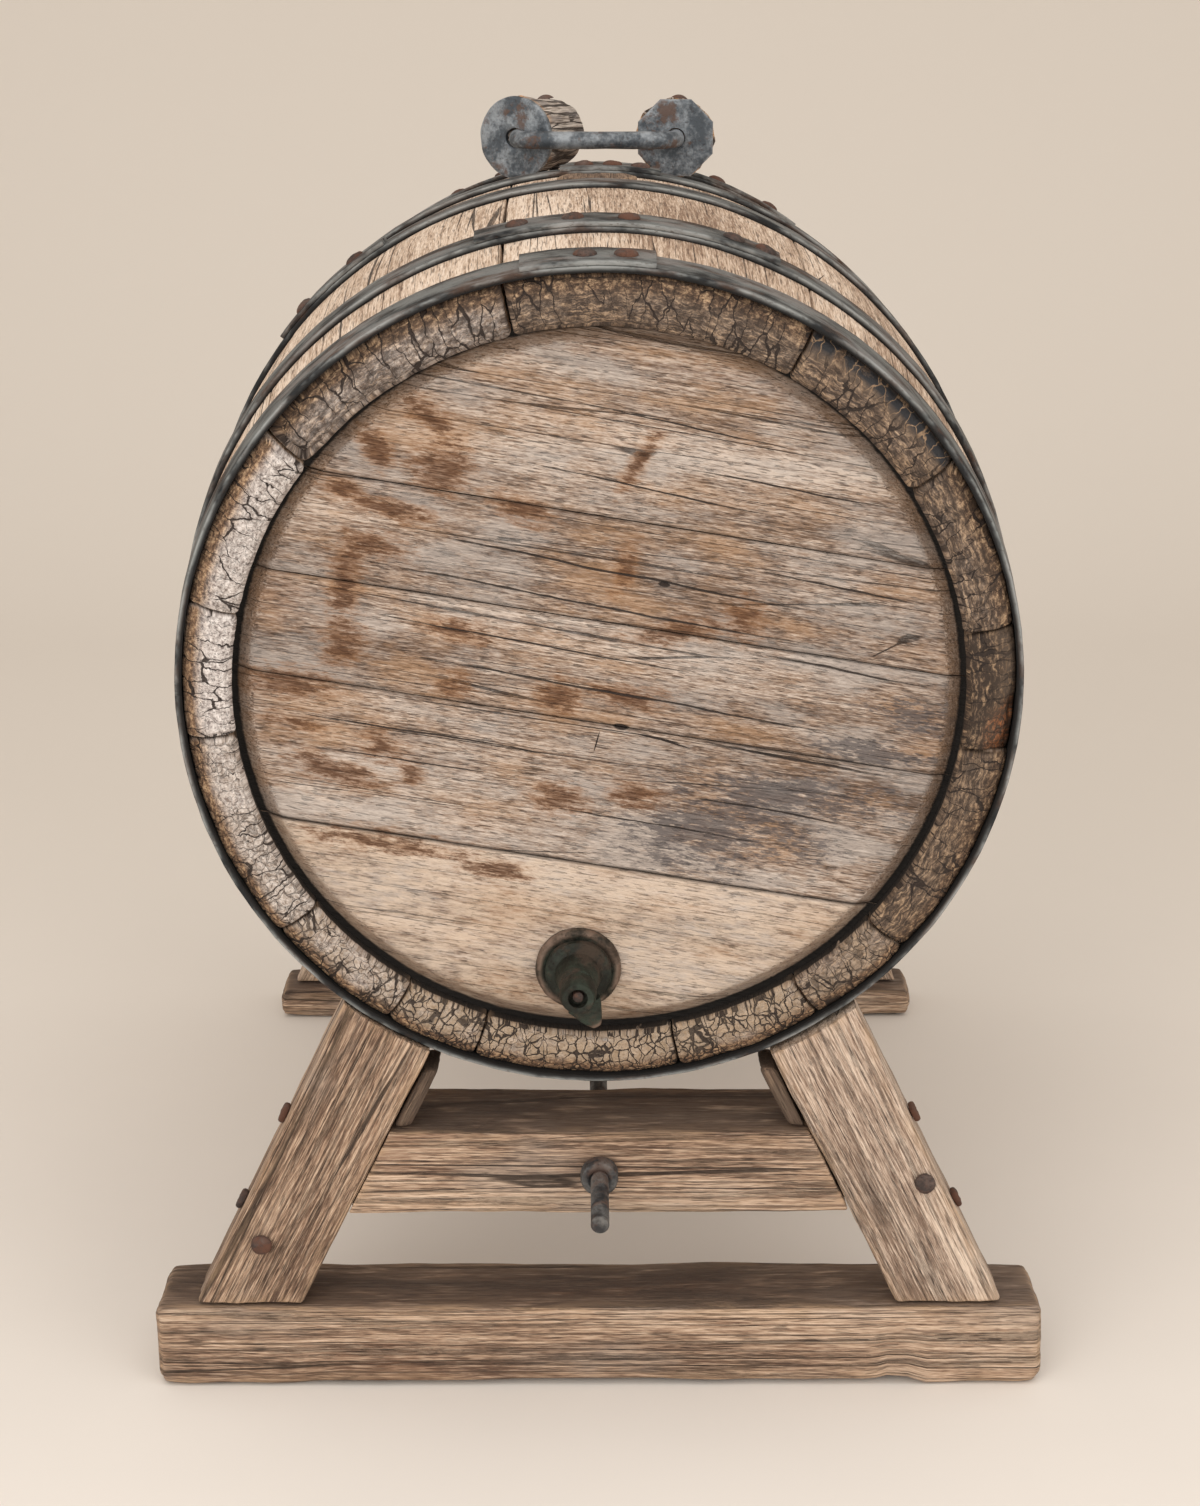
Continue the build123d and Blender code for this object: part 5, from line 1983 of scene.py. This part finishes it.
    def top(self, outset: Array, depth: Array) -> Array:
        """Height at which a leg's fibres meet the chime hoop.

        Args:
            outset: Level distance from the leg's middle.
            depth: Distance in front of or behind the leg's middle.

        Returns:
            The heights.
        """
        low = np.full(len(outset), self.foot_height)
        high = np.full(len(outset), SHAPE.axis_height)
        middle_radius = float(SHAPE.outside(self.hoop_station)) + self.hoop_height
        slope = SHAPE.slope(self.hoop_station)
        for _ in range(self.halvings):
            rise = (low + high) / 2
            fibre = columns(self.centre(rise) + outset, self.leg_middle + depth, rise)
            local = SHAPE.local(fibre)
            cone = middle_radius + slope * (local[:, 1] - self.hoop_station)
            inside = np.hypot(local[:, 0], local[:, 2]) < cone
            high = np.where(inside, rise, high)
            low = np.where(inside, low, rise)
        return (low + high) / 2

    def cleat(self, side: Side) -> Piece:
        """Model a cleat in the corner of a leg and the crossbeam.

        Args:
            side: Its side.

        Returns:
            The piece.
        """
        thick = self.cleat_thickness / math.cos(self.lean)
        size = (thick, self.cleat_height, self.cleat_depth)
        # the cleats are darkened almost fully: painted shade behind the legs, with grime
        timber = Timber(f"worn_{self.label}_cleat_{side.name.lower()}", size, (10, 14, 14),
                        edge_radius=0.0016, seed=14.0 + self.end.value + 2.5 * side.value,
                        end_radius=0.003, unevenness=0.0003, dirt_and_shade=0.9)
        face = self.leg_face - self.end.value * (self.cleat_setback + self.cleat_depth / 2)
        foot = self.beam_high + self.joint_gap

        def shape(points: Array) -> Array:
            """Lean the cleat against its leg.

            Args:
                points: Points of the straight timber.

            Returns:
                Their places.
            """
            rise = foot + points[:, 1] + self.cleat_height / 2
            across = side.value * (self.inner(rise) - thick / 2 + points[:, 0])
            return columns(across, face - side.value * points[:, 2], rise)

        return timber.build(shape)


@dataclass
class StandIron:
    """The tie rod with its round nuts, and the nails of both trestles."""

    trestles: tuple[Trestle, ...]
    rod_radius: float = 0.005
    end_radius: float = 0.0048
    rod_front: float = -0.34205
    rod_height: float = 0.125
    thread_pitch: float = 0.0016
    thread_depth: float = 0.0006
    thread_start: float = 0.0012
    thread_stop: float = 0.054
    plain_rows: tuple[float, ...] = (0.056, 0.20, 0.45, 0.66, 0.683)
    rod_length: float = 0.6841
    back_radius: float = 0.0042
    nut_radius: float = 0.010
    nut_thickness: float = 0.009
    nail_radius: float = 0.0025
    nail_head: float = 0.0055
    nail_height: float = 0.003
    nail_length: float = 0.026
    side_nail_heights: tuple[float, ...] = (0.152, 0.102)
    face_nail_heights: tuple[float, float] = (0.084, 0.119)
    face_nail_outsets: tuple[float, float] = (0.0095, 0.019)
    beam_nail_inset: float = 0.046

    def build(self, steel: Material, rusty: Material) -> None:
        """Model the ironwork and dress it.

        Args:
            steel: Iron of the rod and the nuts.
            rusty: The nails' iron.
        """
        Bench.fit(self.rod(), steel, Slot.HANDLE_IRON, "tie_rod")
        Bench.fit(self.nuts(), steel, Slot.HANDLE_IRON, "tie_nuts")
        side, face, under = [], [], []
        for trestle in self.trestles:
            middle = trestle.leg_middle
            outward = (0.0, trestle.end.value, 0.0)
            faces = zip(Side, self.face_nail_heights, self.face_nail_outsets)
            for hand, face_height, outset in faces:
                normal = (hand.value * math.cos(trestle.lean), 0.0, math.sin(trestle.lean))
                for height in self.side_nail_heights:
                    out = hand.value * (trestle.centre(height) + trestle.half_width)
                    side.append(Bench.seat((out, middle, height), normal))
                out = hand.value * (trestle.centre(face_height) + outset)
                face.append(Bench.seat((out, trestle.leg_face, face_height), outward))
                low = trestle.beam_low
                out = trestle.centre(low) - trestle.half_width - self.beam_nail_inset
                under.append(Bench.seat((hand.value * out, middle, low), (0.0, 0.0, -1.0)))
        for node, seed, seats in (("leg_nails", 61.0, side + face), ("beam_nails", 67.0, under)):
            piece = Bench.copies(f"hammered_{node}", self.nail(seed), seats)
            Bench.smooth(piece, 55.0)
            Bench.fit(piece, rusty, Slot.RUSTY_IRON, node)

    def nail(self, seed: float) -> Piece:
        """Model one hammered nail with its head on the z = 0 plane.

        Args:
            seed: A number that makes its dents their own.

        Returns:
            The piece.
        """
        length, shank, head, top = (
            self.nail_length, self.nail_radius, self.nail_head, self.nail_height)
        profile = [(-length, 0.0006), (-length * 0.8, shank), (-0.0006, shank),
                   (-0.0005, head * 0.93), (0.0006, head), (0.0017, head * 0.97),
                   (0.0024, head * 0.86), (0.0027, head * 0.62), (top, head * 0.3),
                   (top, head * 0.06)]
        piece = Bench.column("nail", 20, profile)
        Bench.batter(piece, 0.0045, 0.0005, seed)
        return piece

    def rod(self) -> Piece:
        """Model the rod with a thread on its free front end and a plain run behind.

        Returns:
            The piece.
        """
        thread = np.arange(0.0, 0.0535, self.thread_pitch / 5)
        heights = [0.0, *(0.0008 + thread), *self.plain_rows, self.rod_length]
        radii = [self.end_radius * 0.86, *[self.end_radius] * len(thread),
                 *[self.rod_radius] * len(self.plain_rows), self.back_radius]
        piece = Bench.column("threaded_tie_rod", 24, list(zip(heights, radii)))
        points = Bench.points(piece)
        reach, turn = Bench.polar(points)
        along = points[:, 2]
        phase = np.mod(along / self.thread_pitch + turn / (2 * math.pi), 1.0)
        threaded = (along > self.thread_start) & (along < self.thread_stop)
        cut = self.thread_depth * np.abs(2.0 * phase - 1.0) * threaded
        worn = held(Weather.field(points, (0.006, 0.006, 0.012), 71.0) + 0.5)
        reach = reach - cut * (0.45 + 0.55 * worn)
        placed = Bench.turned(reach, turn, self.rod_front + along)
        Bench.move(piece, placed + np.array([0.0, 0.0, self.rod_height]))
        crest = held(1.0 - cut / self.thread_depth * 1.6)
        Bench.mark(piece, wear=crest * (along < self.thread_stop))
        Bench.close(piece)
        Bench.smooth(piece, 40.0)
        return piece

    def nuts(self) -> Piece:
        """Model the round nuts on both sides of both crossbeams.

        Returns:
            The piece.
        """
        radius, thick, bore = self.nut_radius, self.nut_thickness, self.rod_radius + 0.0001
        model = Bench.ring("nut", 40, [
            (0.0, bore), (0.0, radius - 0.0005), (0.0006, radius), (thick - 0.0022, radius),
            (thick - 0.0008, radius - 0.0007), (thick, radius - 0.0022), (thick, bore + 0.0012),
            (thick - 0.0008, bore)])
        Bench.batter(model, 0.006, 0.0002, 77.0)
        points = Bench.points(model)
        reach, _ = Bench.polar(points)
        edge = np.exp(-np.abs(reach - radius + 0.0012) / 0.0009)
        Bench.mark(model, wear=edge * (points[:, 2] > thick * 0.6))
        seats = []
        for trestle in self.trestles:
            out = trestle.end.value
            inner = trestle.leg_face - out * trestle.beam_depth
            seats.append(Bench.seat((0.0, trestle.leg_face, self.rod_height), (0.0, out, 0.0)))
            seats.append(Bench.seat((0.0, inner, self.rod_height), (0.0, -out, 0.0)))
        piece = Bench.copies("round_tie_nuts", model, seats)
        Bench.smooth(piece, 35.0)
        return piece


@dataclass
class Bung:
    """The tapered bung in the top stave."""

    radius: float = 0.024
    taper: float = 0.004
    proud: float = 0.002
    length: float = 0.029
    hollow: float = 0.0007

    def build(self, oak: Material) -> None:
        """Model the bung and dress it.

        Args:
            oak: The bung's oak.
        """
        top, low, foot = self.radius, self.radius - self.taper, -self.length
        profile = [(foot, low * 0.2), (foot, low * 0.6), (foot, low - 0.001), (foot + 0.001, low),
                   (-0.012, top - 0.0017), (-0.0022, top - 0.0003), (-0.0009, top - 0.0006),
                   (-0.0002, top - 0.0018)]
        profile += [(0.0, top * share) for share in (0.82, 0.68, 0.54, 0.40, 0.26, 0.12, 0.03)]
        piece = Bench.column("worn_bung", 56, profile)
        points = Bench.points(piece)
        crown = points[:, 2] > -0.001
        dents = Weather.field(points, (0.010, 0.010, 0.02), 83.0) - 0.7
        shaped = points.copy()
        shaped[:, 2] += self.hollow * dents * crown
        Bench.move(piece, shaped)
        reach, _ = Bench.polar(points)
        Bench.mark(piece, grain=points + 1.3, wear=np.exp(-np.abs(reach - top) / 0.003) * crown,
                   grime=0.35 * crown)
        piece.data.transform(SHAPE.seat(SHAPE.length / 2, 90.0, self.proud))
        Bench.smooth(piece, 40.0)
        Bench.fit(piece, oak, Slot.BUNG_OAK, "bung", Body.BUNG)


@dataclass(frozen=True)
class Lamp:
    """A square lamp that faces the object."""

    name: str
    place: Triple
    width: float
    power: float
    spread: float
    tint: Colour


@dataclass
class Studio:
    """Pale sweep of paper, soft lamps and the camera."""

    paper: Colour = paint(232, 225, 217)
    # painted shade: the colour that the sweep darkens to towards the back
    far_paper_shade: Colour = paint(212, 203, 192)
    horizon: Colour = paint(221, 211, 199)
    distance: Colour = paint(216, 204, 191)
    air: Colour = (1.0, 0.96, 0.92)
    lens: float = 58.7
    camera_place: Triple = (-0.0058, -1.4858, 0.6782)
    camera_pitch: float = 14.92
    camera_turn: float = -0.29
    sensor: float = 36.0
    floor_half: float = 16.0
    floor_front: float = -14.0
    floor_back: float = 3.2
    wall_height: float = 4.5
    wall_bend: float = 1.6
    paper_shade: float = 0.94
    lamp_target: Triple = (0.0, -0.1, 0.36)
    rig: tuple[Lamp, ...] = (
        Lamp("key", (-1.4, -2.7, 1.4), 1.8, 7.3, 80.0, (1.0, 0.97, 0.94)),
        Lamp("fill", (1.9, -2.4, 1.0), 1.8, 4.1, 80.0, (1.0, 0.97, 0.94)),
        Lamp("top", (0.0, -1.0, 2.9), 2.6, 12.5, 180.0, (1.0, 0.98, 0.95)),
    )

    def build(self) -> None:
        """Set up the whole studio."""
        self.sweep()
        self.lamps()
        self.camera()

    def sweep(self) -> None:
        """Model the floor and backdrop as one bent sheet."""
        Bench.clear()
        bpy.ops.mesh.primitive_plane_add(size=1.0)
        paper = Bench.adopt("studio_sweep")
        corners = [(across * self.floor_half, depth, 0.0)
                   for depth in (self.floor_front, self.floor_back) for across in (-1.0, 1.0)]
        Bench.move(paper, np.array(corners))
        Bench.edit_edges(paper, Bench.edge_ends(paper)[:, :, 1].min(axis=1) > 0.0)
        Bench.draw_out((0.0, 0.0, self.wall_height))
        bpy.ops.object.mode_set(mode="OBJECT")
        Bench.bevel(paper, self.wall_bend, 24, 30.0)
        Bench.smooth(paper, 60.0)
        mix = Mixture("studio_paper")
        shade = mix.cloud(mix.place(), (0.8, 0.8, 0.8), 2.0)
        fleck = mix.cloud(mix.place(), (5.0, 5.0, 5.0), 3.0)
        deep = tuple(value * self.paper_shade for value in self.paper)
        colour = mix.blend(deep, self.paper, mix.fade(shade * 0.6 + fleck * 0.4, 0.3, 0.7))
        across, depth = mix.split(mix.place())[:2]
        # painted shade: the paper darkens towards the back, as the lamps' light falls off
        colour = mix.blend(colour, self.far_paper_shade, mix.fade(depth, -0.8, 1.0))
        away = across * across + depth * depth
        colour = mix.blend(colour, self.horizon, mix.fade(away, 25.0, 150.0))
        paper.data.materials.append(mix.finish(colour, 0.9, fleck, 0.0005))

    def lamps(self) -> None:
        """Light the object softly from the front and above."""
        air = Air("studio_air")
        seen = air.node("ShaderNodeLightPath", out="Is Camera Ray").most(
            air.node("ShaderNodeLightPath", out="Is Glossy Ray"))
        lit = air.node("ShaderNodeBackground", {}, {"Color": self.air})
        backdrop = air.node("ShaderNodeBackground", {}, {"Color": self.distance})
        shown = air.node("ShaderNodeMixShader", {}, {0: seen, 1: lit, 2: backdrop})
        air.feed(air.output.inputs["Surface"], shown)
        target = Vector(self.lamp_target)
        for lamp in self.rig:
            light = bpy.data.lights.new(lamp.name, "AREA")
            light.size = lamp.width
            light.energy = lamp.power
            light.spread = math.radians(lamp.spread)
            light.color = lamp.tint
            holder = bpy.data.objects.new(lamp.name, light)
            holder.location = lamp.place
            aim = target - Vector(lamp.place)
            holder.rotation_euler = aim.to_track_quat("-Z", "Y").to_euler()
            bpy.context.collection.objects.link(holder)

    def camera(self) -> None:
        """Stand the camera where the photograph was taken from."""
        data = bpy.data.cameras.new("camera")
        data.lens = self.lens
        data.sensor_width = self.sensor
        data.clip_end = 50.0
        camera = bpy.data.objects.new("camera", data)
        camera.location = self.camera_place
        pitch, turn = math.radians(90.0 - self.camera_pitch), math.radians(self.camera_turn)
        camera.rotation_euler = (pitch, 0.0, turn)
        bpy.context.collection.objects.link(camera)
        bpy.context.scene.camera = camera
        bpy.context.scene.view_settings.view_transform = "Standard"


FRONT_SPLITS: tuple[Spot, ...] = (
    (0.118, 0.070, 0.0006, 0.075, 2.5),
    (0.106, 0.010, 0.0006, 0.085, 3.0),
    (0.062, 0.000, 0.0008, 0.150, 2.2),
    (0.044, -0.010, 0.0008, 0.160, 2.0),
    (0.019, -0.030, 0.0006, 0.120, 1.6),
    (0.000, 0.010, 0.0008, 0.170, 1.8),
    (-0.036, -0.080, 0.0007, 0.090, 1.0),
    (-0.052, -0.090, 0.0005, 0.070, 0.5),
    (0.072, 0.110, 0.0008, 0.055, 3.0),
    (0.030, 0.120, 0.0008, 0.060, 2.6),
    (-0.020, 0.105, 0.0010, 0.070, 2.0),
    (-0.049, 0.095, 0.0007, 0.060, 1.8),
    (-0.066, 0.040, 0.0006, 0.070, 0.6),
    (0.140, 0.020, 0.0006, 0.070, 3.2),
)
FRONT_RUST: tuple[Spot, ...] = (
    (0.124, -0.104, 0.0050, 0.013, 35.0),
    (0.104, -0.128, 0.0040, 0.008, 50.0),
    (0.083, -0.142, 0.0045, 0.010, 20.0),
    (0.077, -0.122, 0.0040, 0.020, 4.0),
    (0.097, -0.096, 0.0080, 0.010, 0.0),
    (0.087, -0.055, 0.0050, 0.012, 8.0),
    (0.057, -0.124, 0.0050, 0.012, 0.0),
    (0.036, -0.135, 0.0170, 0.006, 0.0),
    (0.004, -0.132, 0.0090, 0.008, -15.0),
    (-0.021, -0.156, 0.0055, 0.019, -3.0),
    (0.020, -0.075, 0.0040, 0.013, 0.0),
    (-0.009, -0.074, 0.0050, 0.007, 0.0),
    (-0.006, -0.020, 0.0075, 0.010, 0.0),
    (-0.001, 0.013, 0.0045, 0.013, 0.0),
    (-0.062, -0.130, 0.0055, 0.020, 12.0),
    (-0.045, -0.105, 0.0070, 0.009, 25.0),
    (-0.058, -0.088, 0.0045, 0.005, 0.0),
    (-0.040, -0.150, 0.0035, 0.014, 0.0),
    (0.038, 0.036, 0.0045, 0.017, -16.0),
    (0.050, 0.066, 0.0080, 0.009, 0.0),
    (0.118, 0.000, 0.0120, 0.003, 25.0),
    (0.064, 0.002, 0.0110, 0.004, 10.0),
    (-0.061, -0.012, 0.0060, 0.010, 0.0),
    (-0.052, 0.028, 0.0050, 0.010, 0.0),
    (-0.098, -0.092, 0.0040, 0.030, 0.0),
    (-0.104, -0.038, 0.0035, 0.012, 0.0),
)
FRONT_DAMP: tuple[Spot, ...] = (
    (-0.062, 0.070, 0.022, 0.045, 0.0),
    (-0.040, 0.105, 0.010, 0.050, 0.0),
    (0.012, 0.160, 0.009, 0.022, 0.0),
    (-0.010, 0.145, 0.006, 0.030, 0.0),
)
FRONT_HOLES: tuple[Spot, ...] = (
    (-0.017, 0.014, 0.0018, 0.0042, 0.0),
    (-0.020, 0.033, 0.0006, 0.0130, 4.0),
    (-0.021, 0.040, 0.0005, 0.0120, 9.0),
    (-0.027, 0.003, 0.0060, 0.0004, 6.0),
    (0.060, 0.023, 0.0016, 0.0032, 0.0),
)


def main() -> None:
    """Build the cask, its stand and the studio, and report each piece."""
    logging.basicConfig(level=logging.INFO, format="%(message)s")
    stand_oak = OakFinish(bleached=0.4, hairs=0.5).make()
    pale_oak = OakFinish(name="pale_oak", dark=paint(118, 96, 80), middle=paint(180, 157, 138),
                         light=paint(220, 200, 180), stained=0.25, hairs=0.45).make()
    block_oak = OakFinish(name="block_oak", dark=paint(92, 80, 72), middle=paint(162, 147, 134),
                          light=paint(216, 205, 193), edge=paint(206, 152, 102),
                          grime=paint(132, 124, 120), stained=0.2, bump_depth=0.0016,
                          check_scale=(160.0, 14.0, 160.0), check_width=0.16).make()
    # dark oak of the bung and the dowels; the cleats take it too and are darkened further with
    # painted shade
    dark_oak = OakFinish(name="dark_oak", dark=paint(70, 52, 40), middle=paint(118, 92, 72),
                         light=paint(158, 132, 108), grime=paint(44, 34, 28)).make()
    # the stave oak's near-black grime colour also paints the shade on the staves' inner wall
    stave_oak = StaveFinish(name="stave_oak", dark=paint(140, 112, 90), middle=paint(196, 170, 146),
                            light=paint(232, 212, 192), grime=paint(34, 27, 22), stained=0.3,
                            bump_depth=0.0012).make()
    front = HeadFinish(name="front_head_oak", dark=paint(96, 75, 60), middle=paint(150, 129, 113),
                       light=paint(202, 185, 170), edge=paint(132, 104, 80), stained=0.35,
                       check_scale=(90.0, 1.3, 6.0), check_width=0.014, fibre_pitch=0.65, pores=0.6,
                       splits=FRONT_SPLITS, rust=FRONT_RUST, damp=FRONT_DAMP, holes=FRONT_HOLES)
    rear = replace(front, name="rear_head_oak", splits=FRONT_SPLITS[2:8], rust=FRONT_RUST[5:9],
                   damp=FRONT_DAMP[2:], holes=())
    # the hoop iron's fourth colour lights its worn edges: a painted glint as well as wear
    hoop_iron = IronFinish(
        "hoop_iron", paint(31, 34, 37), paint(72, 78, 79), paint(78, 59, 48), paint(160, 162, 160),
        rust_start=0.52, rust_stop=0.66, metal=0.42, rough=0.55, drawn=True).make()
    rusty_iron = IronFinish(
        "rusty_iron", paint(58, 50, 47), paint(106, 88, 80), paint(94, 62, 47), paint(126, 104, 92),
        rust_start=0.46, rust_stop=0.64, metal=0.35, rough=0.6).make()
    handle_iron = IronFinish(
        "handle_iron", paint(76, 83, 90), paint(150, 157, 163), paint(92, 72, 62),
        paint(176, 182, 188), rust_start=0.59, rust_stop=0.68, metal=0.6, rough=0.42).make()
    rod_iron = IronFinish(
        "rod_iron", paint(54, 54, 56), paint(90, 92, 94), paint(80, 60, 50), paint(136, 134, 130),
        rust_start=0.54, rust_stop=0.66, metal=0.55, rough=0.48).make()
    tap_bronze = IronFinish(
        "tap_bronze", paint(31, 32, 26), paint(52, 62, 53), paint(60, 47, 36), paint(128, 106, 92),
        rust_start=0.54, rust_stop=0.68, metal=0.5, rough=0.5).make()

    Studio().build()
    Staves().build(stave_oak)
    Heads().build(front.make(), rear.make())
    Hoops().build(hoop_iron, rusty_iron)
    Bung().build(dark_oak)
    Tap().build(tap_bronze, rusty_iron)
    CarryHandle().build(block_oak, handle_iron)
    trestles = (Trestle(End.FRONT, leg_face=-0.27911, foot_height=0.048, hoop_station=0.019),
                Trestle(End.REAR, leg_face=0.32811, foot_height=0.022, hoop_station=0.591))
    for trestle in trestles:
        trestle.build(stand_oak, pale_oak, dark_oak)
    StandIron(trestles).build(rod_iron, rusty_iron)
    for node, finish in (("head_dowels", dark_oak), ("handle_spikes", rusty_iron)):
        Bench.dress(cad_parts[node], finish)


if __name__ == "__main__":
    main()
